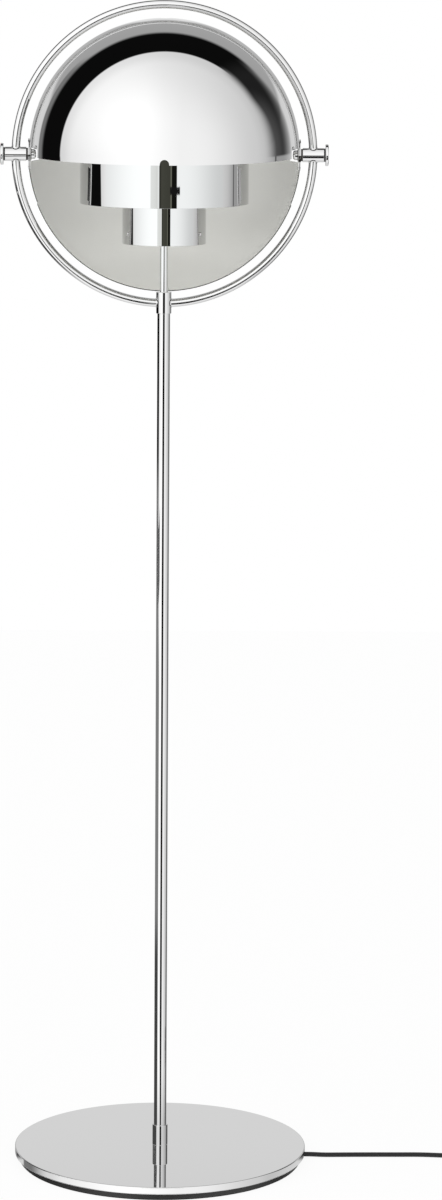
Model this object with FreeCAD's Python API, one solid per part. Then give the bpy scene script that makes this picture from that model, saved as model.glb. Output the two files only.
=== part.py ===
import FreeCAD, Part
import math
import os

# Chrome floor lamp: a round base, a slim pole and a ring that carries two quarter-sphere shades.
# The shades tilt about one horizontal axis round a bulb that stands inside two open cylinders.
# Frame: +Z up, the origin on the floor under the pole, the front towards -Y. Lengths in millimetres.

# ---------------------------------------------------------------- driving sizes
total_height = 1480.0

base_radius = 187.0
base_thickness = 9.3
base_edge_round = 1.0
under_disc_inset = 6.0
under_disc_thickness = 7.8
foot_mat_inset = 1.0
foot_mat_thickness = 1.2
base_recess_radius = 21.0
base_washer_radius = 12.0
base_washer_thickness = 1.2
base_nut_width = 17.0
base_nut_thickness = 4.0
base_hub_recess_radius = 24.0

pole_radius = 8.0
pole_wall = 1.2
foot_collar_wall = 1.7
foot_collar_length = 26.5
foot_screw_radius = 1.5
foot_screw_height = 14.0
bush_length = 22.0
nipple_radius = 5.0
nipple_wall = 1.3
nipple_reach = 18.0

shade_radius = 170.0
shade_wall = 1.0
shade_gap = 0.8
shade_ear_radius = 19.5
shade_relief_depth = 10.5
shade_relief_width = 10.0
shade_notch_gap = 0.7
shade_notch_inset = 1.1
upper_shade_dip = 1.4

ring_gap = 9.3
ring_tube_radius = 5.3
ring_tube_wall = 1.2
ring_collar_length = 27.0
ring_collar_wall = 1.45
ring_collar_gap = 0.5
pole_socket_depth = 6.0
stem_socket_depth = 12.0

sleeve_radius = 8.8
socket_wall = 1.6
pivot_washer_thickness = 2.4
pivot_washer_radius = 7.5
spindle_radius = 3.5
spindle_head_radius = 6.0
spindle_head_length = 6.0
spindle_head_round = 3.0
spindle_thread_radius = 2.5
inner_washer_thickness = 0.8
knob_radius = 13.5
knob_cap_thickness = 4.0
knob_cap_round = 1.2
knob_hub_radius = 4.4
knob_hub_length = 10.0
knob_stand_off = 1.6
knob_shoulder_radius = 8.3
knob_thread_length = 8.0

stem_radius = 5.0
stem_wall = 1.4
spider_drop = 102.0
spider_thickness = 1.5
spider_hub_radius = 15.0
spider_arm_width = 12.0
spider_tab_height = 11.0
spider_screw_rise = 5.5
screw_radius = 1.5
screw_head_radius = 2.4
screw_head_height = 1.4
screw_length = 7.0
stem_nut_width = 14.0
stem_nut_thickness = 4.0
arm_azimuths = (-150.0, -30.0, 90.0)

small_cylinder_radius = 52.15
small_cylinder_drop = 110.0
small_cylinder_height = 75.0
large_cylinder_radius = 104.9
large_cylinder_drop = 60.1
large_cylinder_height = 98.0
cylinder_wall = 1.0
bracket_thickness = 1.5
bracket_width = 12.0
bracket_tab_height = 10.0
bracket_rise = 10.0

holder_radius = 20.0
holder_wall = 2.0
holder_neck_radius = 8.5
holder_neck_length = 8.0
holder_cap_height = 18.0
holder_shell_height = 32.0
holder_insulator_height = 8.0
lamp_thread_radius = 14.5
lamp_thread_wall = 0.8
lamp_thread_height = 24.0
contact_radius = 2.2
contact_height = 3.0
bulb_cap_radius = 13.2
bulb_cap_height = 25.0
bulb_glass_radius = 30.0
bulb_glass_wall = 0.8
bulb_neck_radius = 14.0
bulb_length = 105.0

cord_radius = 3.0
flex_bend_radius = 6.0
flex_height = 5.1
cord_floor_height = 3.1
relief_radius = 3.8
relief_tip_radius = 3.4
relief_length = 36.0
relief_rim_gap = 1.0

switch_length = 64.0
switch_width = 32.0
switch_base_height = 7.0
switch_cover_height = 13.0
switch_cover_wall = 1.8
switch_corner_round = 10.0
switch_edge_round = 2.0
switch_inlet_height = 7.0
switch_relief_radius = 4.4
switch_relief_tip_radius = 3.4
switch_relief_length = 14.0
button_radius = 8.0
button_proud = 3.5
button_travel = 2.5
button_flange_width = 1.6
button_flange_height = 1.5
spring_radius = 4.6
spring_wire_radius = 0.4
spring_turns = 4

coil_outer_radius = 47.0
coil_pitch = 6.6
coil_turns_in_a_layer = 3
coil_centre = (551.0, 40.0)
tie_thickness = 0.8
tie_width = 6.0

plug_length = 36.0
plug_width = 26.0
plug_thickness = 13.6
plug_edge_round = 3.0
plug_relief_radius = 4.6
plug_relief_tip_radius = 3.4
plug_relief_length = 24.0
plug_pin_radius = 2.0
plug_pin_length = 19.0
plug_pin_spacing = 19.0

fit_gap = 0.05
running_gap = 0.08
lying_gap = 0.2
moving_gap = 0.3

# ---------------------------------------------------------------- heights and places that follow
under_disc_radius = base_radius - under_disc_inset
foot_mat_radius = under_disc_radius - foot_mat_inset
plate_bottom = foot_mat_thickness + under_disc_thickness
plate_top = plate_bottom + base_thickness
base_nut_bottom = plate_bottom + fit_gap
base_nut_top = base_nut_bottom + base_nut_thickness
base_recess_top = base_nut_top + base_washer_thickness
nipple_bore = nipple_radius - nipple_wall

inner_shade_radius = shade_radius - shade_wall - shade_gap
ring_centre_radius = shade_radius + ring_gap + ring_tube_radius
ring_outer_radius = ring_centre_radius + ring_tube_radius
pivot_height = total_height - ring_outer_radius

ring_collar_radius = pole_radius + ring_collar_wall + fit_gap
ring_collar_top = pivot_height - shade_radius - ring_collar_gap
ring_collar_bottom = ring_collar_top - ring_collar_length
pole_top = ring_collar_bottom + pole_socket_depth
stem_bottom = ring_collar_top - stem_socket_depth
stem_bore = stem_radius - stem_wall
foot_collar_radius = pole_radius + foot_collar_wall + fit_gap

spider_bottom = pivot_height - spider_drop
spider_top = spider_bottom + spider_thickness
stem_nut_top = spider_top + stem_nut_thickness
holder_cap_bottom = stem_nut_top + holder_neck_length
stem_top = holder_cap_bottom + holder_wall
holder_shell_bottom = holder_cap_bottom + holder_cap_height
insulator_bottom = holder_shell_bottom - holder_wall
insulator_top = insulator_bottom + holder_insulator_height
bulb_bottom = insulator_top + contact_height
bulb_glass_centre = bulb_bottom + bulb_length - bulb_glass_radius

small_cylinder_bottom = pivot_height - small_cylinder_drop
small_cylinder_top = small_cylinder_bottom + small_cylinder_height
large_cylinder_bottom = pivot_height - large_cylinder_drop
bracket_bottom = large_cylinder_bottom + bracket_rise

cord_exit_x = base_radius - relief_rim_gap
switch_centre = (458.0, -8.0)
switch_near_x = switch_centre[0] - switch_length / 2 - switch_relief_length
switch_far_x = switch_centre[0] + switch_length / 2 + switch_relief_length
switch_top = switch_base_height + switch_cover_height
coil_height = cord_radius + tie_thickness + lying_gap
plug_height = plug_thickness / 2 + lying_gap

# Points of the cord's free stretches, chosen by hand. The far ends of the last two follow the coil.
mains_cord_points = [
    (186.0, 0.0, 5.1),
    (196.0, 0.0, 5.1),
    (212.0, 1.9, 3.7),
    (236.0, 4.9, 3.1),
    (272.0, 5.8, 3.1),
    (308.0, 6.3, 3.1),
    (338.0, 6.9, 3.1),
    (356.0, 4.8, 3.1),
    (372.0, -1.0, 4.3),
    (388.0, -6.6, 6.6),
    (402.0, -8.0, 7.0),
    (412.0, -8.0, 7.0),
]

vector = FreeCAD.Vector
up = vector(0, 0, 1)
right = vector(1, 0, 0)


# ---------------------------------------------------------------- plain forms
def rod(radius, bottom, top, x=0.0, y=0.0):
    """Upright cylinder between two heights."""
    return Part.makeCylinder(radius, top - bottom, vector(x, y, bottom), up)


def pipe(outer, inner, bottom, top, x=0.0, y=0.0):
    """Upright hollow cylinder, both ends flat."""
    return rod(outer, bottom, top, x, y).cut(rod(inner, bottom, top, x, y))


def side_rod(radius, start, end, height=pivot_height, y=0.0):
    """Cylinder along X between two places."""
    return Part.makeCylinder(radius, end - start, vector(start, y, height), right)


def side_cone(start_radius, end_radius, start, end, height, y):
    """Cone along X between two places."""
    return Part.makeCone(start_radius, end_radius, end - start, vector(start, y, height), right)


def hexagon(width, bottom, top):
    """Hexagonal bar across flats `width`, centred on the pole's axis."""
    corner = width / math.sqrt(3)
    corners = [vector(corner * math.cos(math.radians(a)), corner * math.sin(math.radians(a)), bottom)
               for a in range(0, 361, 60)]
    return Part.Face(Part.makePolygon(corners)).extrude(vector(0, 0, top - bottom))


def hex_nut(width, bore, bottom, top):
    """Plain nut on the pole's axis."""
    return hexagon(width, bottom, top).cut(rod(bore, bottom, top))


def block(x_range, y_range, z_range):
    """Box between three pairs of limits."""
    corner = vector(x_range[0], y_range[0], z_range[0])
    return Part.makeBox(x_range[1] - x_range[0], y_range[1] - y_range[0], z_range[1] - z_range[0], corner)


def rounded_block(length, width, bottom, top, centre, corner_round):
    """Upright block with round corners in plan."""
    x, y = centre
    body = block((x - length / 2, x + length / 2), (y - width / 2, y + width / 2), (bottom, top))
    upright = [e for e in body.Edges if abs(e.tangentAt(e.FirstParameter).z) > 0.9]
    return body.makeFillet(corner_round, upright)


def edges_at_height(shape, height):
    """Edges that lie flat at one height."""
    return [e for e in shape.Edges
            if abs(e.BoundBox.ZMin - height) < 1e-4 and abs(e.BoundBox.ZMax - height) < 1e-4]


def turned(shape, azimuth):
    """Copy turned about the pole's axis, degrees from +X."""
    copy = shape.copy()
    copy.rotate(vector(0, 0, 0), up, azimuth)
    return copy


def mirrored(shape):
    """Copy on the other side of the lamp's middle plane."""
    return shape.mirror(vector(0, 0, 0), right)


# ---------------------------------------------------------------- tubes along a path
def arc_through(start, tangent, end):
    """Circular arc from start to end that leaves along the tangent."""
    chord = end - start
    along = vector(chord).normalize()
    side = tangent - along * tangent.dot(along)
    if side.Length < 1e-9:
        return Part.LineSegment(start, end).toShape()
    quarter_turn = math.acos(max(-1.0, min(1.0, tangent.dot(along)))) / 2
    middle = (start + end) * 0.5 + side.normalize() * (chord.Length / 2 * math.tan(quarter_turn))
    return Part.Arc(start, middle, end).toShape()


def biarc(start, start_way, end, end_way):
    """Two tangent arcs that join two places with given ways of travel."""
    chord = end - start
    ways = start_way + end_way
    spread = 2 * (1 - start_way.dot(end_way))
    reach = chord.dot(ways)
    if spread < 1e-9:
        handle = chord.dot(chord) / (2 * reach)
    else:
        handle = (math.sqrt(reach * reach + spread * chord.dot(chord)) - reach) / spread
    near = start + start_way * handle
    far = end - end_way * handle
    middle = (near + far) * 0.5
    middle_way = (far - near).normalize()
    return [arc_through(start, start_way, middle), arc_through(middle, middle_way, end)]


def sweep_tube(edges, radius, start, way):
    """Round tube along a chain of edges that starts at a place along a way."""
    profile = Part.Wire(Part.makeCircle(radius, start, way))
    return Part.Wire(edges).makePipeShell([profile], True, False)


def rounded_tube(points, radius, name, bend_radius=None):
    """Tube along straight runs joined by tangent arcs.

    Each arc's radius is 0.45 of its shorter run over the tangent of half the turn, or the given one.
    """
    corners = [vector(*p) for p in points]
    edges = []
    radii = []
    here = corners[0]
    for before, corner, after in zip(corners, corners[1:], corners[2:]):
        way_in = (corner - before).normalize()
        way_out = (after - corner).normalize()
        half_turn = way_in.getAngle(way_out) / 2
        shorter = min((corner - before).Length, (after - corner).Length)
        bend = bend_radius or 0.45 * shorter / math.tan(half_turn)
        set_back = bend * math.tan(half_turn)
        arc_start = corner - way_in * set_back
        arc_end = corner + way_out * set_back
        edges.append(Part.LineSegment(here, arc_start).toShape())
        edges.append(arc_through(arc_start, way_in, arc_end))
        radii.append(bend)
        here = arc_end
    edges.append(Part.LineSegment(here, corners[-1]).toShape())
    solid = sweep_tube(edges, radius, corners[0], (corners[1] - corners[0]).normalize())
    length = sum(e.Length for e in edges)
    print(name, "length", round(length, 1), "radii", [round(r) for r in radii],
          "volume over section times length", round(solid.Volume / (math.pi * radius ** 2 * length), 4))
    return solid


# ---------------------------------------------------------------- base
def base_plate():
    """Thick chromed disc with softened rims, bored for the nipple and recessed for its nut."""
    plate = rod(base_radius, plate_bottom, plate_top)
    rims = [e for e in plate.Edges if e.Curve.TypeId == "Part::GeomCircle"]
    plate = plate.makeFillet(base_edge_round, rims)
    recess = rod(base_recess_radius, plate_bottom, base_recess_top)
    return plate.cut(recess).cut(rod(nipple_radius + fit_gap, plate_bottom, plate_top))


def base_under_disc():
    """Black disc under the plate, with a hub recess and a channel for the cord towards +X."""
    disc = rod(under_disc_radius, foot_mat_thickness, plate_bottom)
    hub = rod(base_hub_recess_radius, foot_mat_thickness, plate_bottom)
    half_channel = relief_radius + lying_gap
    channel = block((0, base_radius), (-half_channel, half_channel), (foot_mat_thickness, plate_bottom))
    return disc.cut(hub).cut(channel)


def base_foot_mat():
    """Thin rubber mat that the lamp stands on."""
    return rod(foot_mat_radius, 0, foot_mat_thickness)


def base_washer():
    """Washer between the plate and its nut."""
    return pipe(base_washer_radius, nipple_radius + fit_gap, base_nut_top, base_recess_top)


def base_nut():
    """Nut that pulls the nipple down on the plate."""
    return hex_nut(base_nut_width, nipple_radius + fit_gap, base_nut_bottom, base_nut_top)


def base_nipple():
    """Threaded tube from the nut up into the pole's lower bush."""
    return pipe(nipple_radius, nipple_bore, base_nut_bottom, plate_top + nipple_reach)


# ---------------------------------------------------------------- pole
def pole_foot_collar():
    """Collar round the foot of the pole, with a hole for its grub screw at the back."""
    collar = pipe(foot_collar_radius, pole_radius + fit_gap, plate_top, plate_top + foot_collar_length)
    start = vector(0, pole_radius, plate_top + foot_screw_height)
    hole = Part.makeCylinder(foot_screw_radius + fit_gap, foot_collar_radius, start, vector(0, 1, 0))
    return collar.cut(hole)


def foot_collar_screw():
    """Grub screw in the collar, its tip on the pole."""
    start = vector(0, pole_radius + fit_gap, plate_top + foot_screw_height)
    screw = Part.makeCylinder(foot_screw_radius, foot_collar_wall, start, vector(0, 1, 0))
    seat = rod(pole_radius + fit_gap, plate_top, plate_top + foot_collar_length)
    return screw.cut(seat)


def pole():
    """Plain tube from the plate into the ring's collar."""
    return pipe(pole_radius, pole_radius - pole_wall, plate_top, pole_top)


def pole_bush(bottom, top):
    """Threaded bush pressed into an end of the pole."""
    return pipe(pole_radius - pole_wall - fit_gap, nipple_radius + fit_gap, bottom, top)


def pole_top_nipple():
    """Threaded tube that joins the pole's upper bush to the ring's collar."""
    return pipe(nipple_radius, nipple_bore, pole_top - nipple_reach, (pole_top + stem_bottom) / 2)


# ---------------------------------------------------------------- ring
def ring_arc_rod(radius, start_angle, end_angle):
    """Solid round bar bent like the ring between two angles, degrees from +X towards +Z."""
    centre = vector(0, 0, pivot_height)
    angle = math.radians(start_angle)
    place = centre + vector(math.cos(angle), 0, math.sin(angle)) * ring_centre_radius
    way = vector(-math.sin(angle), 0, math.cos(angle))
    face = Part.Face(Part.Wire(Part.makeCircle(radius, place, way)))
    return face.revolve(centre, vector(0, -1, 0), end_angle - start_angle)


def angle_off(distance):
    """Angle of the ring, in degrees, that spans a small distance from an axis through its centre."""
    return math.degrees(math.asin(distance / ring_centre_radius))


sleeve_socket = knob_hub_radius + running_gap + socket_wall
collar_socket = stem_radius + fit_gap + socket_wall


def ring_arc(start_angle, end_angle):
    """Chromed tube of the ring, open at both ends."""
    bar = ring_arc_rod(ring_tube_radius, start_angle, end_angle)
    return bar.cut(ring_arc_rod(ring_tube_radius - ring_tube_wall, start_angle, end_angle))


def ring_upper_arc():
    """Half ring over the shades, from sleeve to sleeve."""
    return ring_arc(angle_off(sleeve_socket), 180 - angle_off(sleeve_socket))


def ring_lower_right_arc():
    """Quarter ring from the collar to the right sleeve."""
    return ring_arc(270 + angle_off(collar_socket), 360 - angle_off(sleeve_socket))


def ring_collar():
    """Upright fitting that joins the pole, the stem and the two lower arcs."""
    collar = rod(ring_collar_radius, ring_collar_bottom, ring_collar_top)
    collar = collar.cut(rod(pole_radius + fit_gap, ring_collar_bottom, pole_top))
    collar = collar.cut(rod(nipple_radius + fit_gap, pole_top, (pole_top + stem_bottom) / 2))
    collar = collar.cut(rod(stem_bore, pole_top, stem_bottom))
    collar = collar.cut(rod(stem_radius + fit_gap, stem_bottom, ring_collar_top))
    reach = angle_off(ring_collar_radius * 2)
    for start, end in ((angle_off(collar_socket), reach), (-reach, -angle_off(collar_socket))):
        collar = collar.cut(ring_arc_rod(ring_tube_radius + fit_gap, 270 + start, 270 + end))
    return collar


# ---------------------------------------------------------------- shades
def ear_place(radius):
    """Distance from the middle at which a sphere is as narrow as an ear."""
    return math.sqrt(radius ** 2 - shade_ear_radius ** 2)


def sphere_slice(radius, centre, first_angle, last_angle):
    """Solid part of a sphere between two half planes through the X axis, cut flat at the ears.

    Angles are in degrees from the front, over the top to the back.
    """
    end = ear_place(radius)
    ring = shade_ear_radius
    arc = Part.Arc(vector(-end, -ring, 0), vector(0, -radius, 0), vector(end, -ring, 0)).toShape()
    sides = Part.makePolygon([vector(end, -ring, 0), vector(end, 0, 0), vector(-end, 0, 0), vector(-end, -ring, 0)])
    face = Part.Face(Part.Wire([arc] + sides.Edges))
    face.rotate(vector(0, 0, 0), vector(-1, 0, 0), first_angle)
    solid = face.revolve(vector(0, 0, 0), vector(-1, 0, 0), last_angle - first_angle)
    solid.translate(centre)
    return solid


def shade(radius, first_angle):
    """Quarter sphere of thin metal with a round flat ear at each pivot.

    Each rim has a round-ended notch at its middle for the stem, and a relief beside each ear for the spindle's head.
    """
    centre = vector(0, 0, pivot_height)
    inner = radius - shade_wall
    last_angle = first_angle + 90
    shell = sphere_slice(radius, centre, first_angle, last_angle)
    shell = shell.cut(sphere_slice(inner, centre, first_angle - 1, last_angle + 1))
    inner_end = ear_place(inner)
    half_notch = stem_radius + shade_notch_gap
    for angle, inwards in ((first_angle, 1), (last_angle, -1)):
        depth = shade_notch_inset * inwards
        notch = Part.makeCylinder(half_notch, radius, vector(0, -radius / 2, depth), vector(0, -1, 0))
        mouth = block((-half_notch, half_notch), (-3 * radius / 2, -radius / 2), sorted((0, depth)))
        for cutter in (notch, mouth):
            cutter.rotate(vector(0, 0, 0), vector(-1, 0, 0), angle)
            cutter.translate(centre)
            shell = shell.cut(cutter)
        relief = block((inner_end - shade_relief_width, radius), (-radius, 0),
                       (-shade_relief_depth * (1 - inwards) / 2, shade_relief_depth * (1 + inwards) / 2))
        relief.rotate(vector(0, 0, 0), vector(-1, 0, 0), angle)
        relief.translate(centre)
        shell = shell.cut(relief).cut(mirrored(relief))
    ear = side_rod(shade_ear_radius, inner_end, ear_place(radius))
    hole = side_rod(spindle_radius + running_gap, 0, radius)
    for piece in (ear, mirrored(ear)):
        shell = shell.fuse(piece)
    return shell.cut(hole).cut(mirrored(hole)).removeSplitter()


# ---------------------------------------------------------------- pivots, built on the right side
outer_ear_face = ear_place(shade_radius)
outer_ear_back = ear_place(shade_radius - shade_wall)
inner_ear_face = ear_place(inner_shade_radius)
inner_ear_back = ear_place(inner_shade_radius - shade_wall)
sleeve_inner_end = outer_ear_face + pivot_washer_thickness
sleeve_outer_end = 2 * ring_centre_radius - sleeve_inner_end
knob_cap_start = sleeve_outer_end + knob_stand_off
knob_inner_end = knob_cap_start - knob_hub_length
knob_seat = knob_inner_end - moving_gap


def pivot_sleeve():
    """Short cross tube that the ring's arcs are brazed into."""
    sleeve = side_rod(sleeve_radius, sleeve_inner_end, sleeve_outer_end)
    sleeve = sleeve.cut(side_rod(spindle_radius + fit_gap, sleeve_inner_end, knob_seat))
    sleeve = sleeve.cut(side_rod(knob_hub_radius + running_gap, knob_seat, sleeve_outer_end))
    reach = angle_off(sleeve_radius * 2)
    for start, end in ((angle_off(sleeve_socket), reach), (-reach, -angle_off(sleeve_socket))):
        sleeve = sleeve.cut(ring_arc_rod(ring_tube_radius + fit_gap, start, end))
    return sleeve


def pivot_spindle():
    """Fixed axle of the shades, with a round head inside and a threaded end for the knob."""
    head_face = inner_ear_back - inner_washer_thickness
    free_end = head_face - spindle_head_length
    head = side_rod(spindle_head_radius, free_end, head_face)
    rims = [e for e in head.Edges if abs(e.BoundBox.XMax - free_end) < fit_gap]
    head = head.makeFillet(spindle_head_round, rims)
    shaft = side_rod(spindle_radius, head_face, knob_seat)
    thread = side_rod(spindle_thread_radius, knob_seat, knob_inner_end + knob_thread_length)
    return head.fuse(shaft).fuse(thread).removeSplitter()


def pivot_washers():
    """Fibre washers between the head, the two ears and the sleeve."""
    washers = []
    for start, end in ((inner_ear_back - inner_washer_thickness, inner_ear_back),
                       (inner_ear_face, outer_ear_back), (outer_ear_face, sleeve_inner_end)):
        ring = side_rod(pivot_washer_radius, start, end)
        washers.append(ring.cut(side_rod(spindle_radius + fit_gap, start, end)))
    return Part.makeCompound(washers)


def knob():
    """Thumb knob: a flat cap, a shoulder next to the sleeve, and a hub that runs on the spindle's thread inside it."""
    cap = side_rod(knob_radius, knob_cap_start, knob_cap_start + knob_cap_thickness)
    rims = [e for e in cap.Edges if e.Curve.TypeId == "Part::GeomCircle"]
    cap = cap.makeFillet(knob_cap_round, rims)
    hub = side_rod(knob_hub_radius, knob_inner_end, knob_cap_start)
    shoulder = side_rod(knob_shoulder_radius, sleeve_outer_end + moving_gap, knob_cap_start)
    bore_end = knob_inner_end + knob_thread_length + moving_gap
    bore = side_rod(spindle_thread_radius + running_gap, knob_inner_end, bore_end)
    return cap.fuse(shoulder).fuse(hub).cut(bore).removeSplitter()


# ---------------------------------------------------------------- stem, spider and cylinders
def stem():
    """Thin tube from the ring's collar to the lamp holder."""
    return pipe(stem_radius, stem_bore, stem_bottom, stem_top)


def stem_nuts():
    """Nuts that hold the spider from below and above."""
    bore = stem_radius + fit_gap
    lower = hex_nut(stem_nut_width, bore, spider_bottom - stem_nut_thickness, spider_bottom)
    upper = hex_nut(stem_nut_width, bore, spider_top, stem_nut_top)
    return Part.makeCompound([lower, upper])


def radial_hole(radius, azimuth, start, end, height):
    """Cylinder that points outwards from the pole's axis."""
    bar = Part.makeCylinder(radius, end - start, vector(start, 0, height), right)
    return turned(bar, azimuth)


small_bore = small_cylinder_radius - cylinder_wall
spider_screw_height = spider_bottom + spider_screw_rise


def spider():
    """Three-armed sheet bracket, with tabs turned up against the small cylinder."""
    outline = small_bore - fit_gap
    plate = rod(spider_hub_radius, spider_bottom, spider_top)
    half = spider_arm_width / 2
    reach = rod(outline, spider_bottom, spider_bottom + spider_tab_height)
    rim = pipe(outline, outline - spider_thickness, spider_bottom, spider_bottom + spider_tab_height)
    for azimuth in arm_azimuths:
        arm = block((0, outline), (-half, half), (spider_bottom, spider_top))
        tab = block((0, outline), (-half, half), (spider_bottom, spider_bottom + spider_tab_height))
        plate = plate.fuse(turned(arm, azimuth).common(reach)).fuse(turned(tab, azimuth).common(rim))
    plate = plate.cut(rod(stem_radius + fit_gap, spider_bottom, spider_top))
    for azimuth in arm_azimuths:
        hole = radial_hole(screw_radius + fit_gap, azimuth, outline / 2, outline * 2, spider_screw_height)
        plate = plate.cut(hole)
    return plate.removeSplitter()


def spider_screws():
    """Three screws through the small cylinder into the spider's tabs."""
    screws = []
    for azimuth in arm_azimuths:
        head = radial_hole(screw_head_radius, azimuth, small_bore, small_cylinder_radius + screw_head_height,
                           spider_screw_height)
        head = head.cut(rod(small_cylinder_radius + fit_gap, small_cylinder_bottom, small_cylinder_top))
        shank = radial_hole(screw_radius, azimuth, small_cylinder_radius + screw_head_height / 2 - screw_length,
                            small_cylinder_radius + screw_head_height / 2, spider_screw_height)
        screws.append(head.fuse(shank).removeSplitter())
    return Part.makeCompound(screws)


def small_cylinder():
    """Lower open cylinder, drilled for the three screws."""
    wall = pipe(small_cylinder_radius, small_bore, small_cylinder_bottom, small_cylinder_top)
    for azimuth in arm_azimuths:
        hole = radial_hole(screw_radius + fit_gap, azimuth, small_bore / 2, small_cylinder_radius * 2,
                           spider_screw_height)
        wall = wall.cut(hole)
    return wall


def large_cylinder():
    """Upper open cylinder, below the edge of the raised shade."""
    inner = large_cylinder_radius - cylinder_wall
    return pipe(large_cylinder_radius, inner, large_cylinder_bottom, large_cylinder_bottom + large_cylinder_height)


def cylinder_brackets():
    """Three arms welded between the cylinders, each with a tab along both walls."""
    inner = small_cylinder_radius + fit_gap
    outer = large_cylinder_radius - cylinder_wall - fit_gap
    top = bracket_bottom + bracket_tab_height
    half = bracket_width / 2
    space = pipe(outer, inner, bracket_bottom, top)
    tabs = pipe(outer, outer - bracket_thickness, bracket_bottom, top)
    tabs = tabs.fuse(pipe(inner + bracket_thickness, inner, bracket_bottom, top))
    brackets = []
    for azimuth in arm_azimuths:
        arm = block((0, outer), (-half, half), (bracket_bottom, bracket_bottom + bracket_thickness))
        ends = block((0, outer), (-half, half), (bracket_bottom, top))
        bracket = turned(arm, azimuth).common(space).fuse(turned(ends, azimuth).common(tabs))
        brackets.append(bracket.removeSplitter())
    return Part.makeCompound(brackets)


# ---------------------------------------------------------------- lamp holder and bulb
def holder_cap():
    """Lower cap of the lamp holder, screwed on the stem by its neck."""
    neck = rod(holder_neck_radius, stem_nut_top, holder_cap_bottom)
    cup = rod(holder_radius, holder_cap_bottom, holder_shell_bottom)
    cup = cup.cut(rod(holder_radius - holder_wall, holder_cap_bottom + holder_wall, holder_shell_bottom))
    return neck.fuse(cup).cut(rod(stem_radius + fit_gap, stem_nut_top, holder_shell_bottom)).removeSplitter()


def holder_insulator():
    """Ceramic disc that carries the contacts."""
    return rod(holder_radius - holder_wall - fit_gap, insulator_bottom, insulator_top)


def holder_shell():
    """Outer shell of the lamp holder."""
    return pipe(holder_radius, holder_radius - holder_wall, holder_shell_bottom,
                holder_shell_bottom + holder_shell_height)


def holder_thread():
    """Brass screw shell for the bulb."""
    inner = lamp_thread_radius - lamp_thread_wall
    return pipe(lamp_thread_radius, inner, insulator_top, insulator_top + lamp_thread_height)


def holder_contact():
    """Centre contact under the bulb."""
    return rod(contact_radius, insulator_top, bulb_bottom)


def bulb_cap():
    """Screw cap of the bulb."""
    return rod(bulb_cap_radius, bulb_bottom, bulb_bottom + bulb_cap_height)


def bulb_outline(sphere_radius, neck_radius, bottom):
    """Solid of revolution: a cone from the neck that meets a sphere without a kink."""
    neck = vector(neck_radius, 0, bottom - bulb_glass_centre)
    turn = math.atan2(neck.z, neck.x) + math.acos(sphere_radius / neck.Length)
    touch = vector(sphere_radius * math.cos(turn), 0, sphere_radius * math.sin(turn))
    half_way = (turn + math.pi / 2) / 2
    bulge = vector(sphere_radius * math.cos(half_way), 0, sphere_radius * math.sin(half_way))
    top = vector(0, 0, sphere_radius)
    edges = [
        Part.LineSegment(vector(0, 0, neck.z), neck).toShape(),
        Part.LineSegment(neck, touch).toShape(),
        Part.Arc(touch, bulge, top).toShape(),
        Part.LineSegment(top, vector(0, 0, neck.z)).toShape(),
    ]
    solid = Part.Face(Part.Wire(edges)).revolve(vector(0, 0, 0), up, 360)
    solid.translate(vector(0, 0, bulb_glass_centre))
    return solid


def bulb_glass():
    """Frosted globe on the bulb's cap."""
    bottom = bulb_bottom + bulb_cap_height
    outside = bulb_outline(bulb_glass_radius, bulb_neck_radius, bottom)
    inside = bulb_outline(bulb_glass_radius - bulb_glass_wall, bulb_neck_radius - bulb_glass_wall, bottom)
    return outside.cut(inside)


# ---------------------------------------------------------------- cord inside the lamp
def inner_flex():
    """Cord from the lamp holder down the stem and pole, and along the base's channel."""
    points = [(0, 0, insulator_bottom), (0, 0, flex_height), (cord_exit_x, 0, flex_height)]
    return rounded_tube(points, cord_radius, "inner_flex", flex_bend_radius)


def cord_strain_relief():
    """Tapered sleeve round the cord where it leaves the base."""
    start = cord_exit_x - relief_length
    sleeve = side_cone(relief_radius, relief_tip_radius, start, cord_exit_x, flex_height, 0)
    return sleeve.cut(side_rod(cord_radius + fit_gap, start, cord_exit_x, flex_height))


# ---------------------------------------------------------------- foot switch
def foot_switch_base():
    """Lower half of the foot switch."""
    return rounded_block(switch_length, switch_width, 0, switch_base_height, switch_centre, switch_corner_round)


def foot_switch_cover():
    """Upper half of the foot switch, hollow, with a hole for the button."""
    x, y = switch_centre
    wall = switch_cover_wall
    cover = rounded_block(switch_length, switch_width, switch_base_height, switch_top, switch_centre,
                          switch_corner_round)
    cover = cover.makeFillet(switch_edge_round, edges_at_height(cover, switch_top))
    hollow = rounded_block(switch_length - 2 * wall, switch_width - 2 * wall, switch_base_height,
                           switch_top - wall, switch_centre, switch_corner_round - wall)
    hole = rod(button_radius + moving_gap, switch_base_height, switch_top, x, y)
    return cover.cut(hollow).cut(hole)


button_bottom = switch_top - switch_cover_wall - moving_gap - button_flange_height


def foot_switch_button():
    """Round push button with a flange that keeps it in the cover."""
    x, y = switch_centre
    cap_top = switch_top + button_proud
    stud = rod(button_radius, button_bottom, cap_top, x, y)
    stud = stud.makeFillet(switch_edge_round / 2, edges_at_height(stud, cap_top))
    flange = rod(button_radius + button_flange_width, button_bottom, button_bottom + button_flange_height, x, y)
    return stud.fuse(flange).removeSplitter()


def foot_switch_spring():
    """Round wire spring under the button, a steady helix between two flat turns' planes."""
    x, y = switch_centre
    low = switch_base_height + spring_wire_radius + fit_gap
    high = button_bottom - spring_wire_radius - fit_gap
    rise = (high - low) / (spring_turns * 2 * math.pi)
    places = []
    for quarter in range(spring_turns * 4 + 1):
        angle = quarter * math.pi / 2
        place = vector(x + spring_radius * math.cos(angle), y + spring_radius * math.sin(angle), low + rise * angle)
        way = vector(-spring_radius * math.sin(angle), spring_radius * math.cos(angle), rise).normalize()
        places.append((place, way))
    edges = [edge for a, b in zip(places, places[1:]) for edge in biarc(a[0], a[1], b[0], b[1])]
    return sweep_tube(edges, spring_wire_radius, places[0][0], places[0][1])


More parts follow.
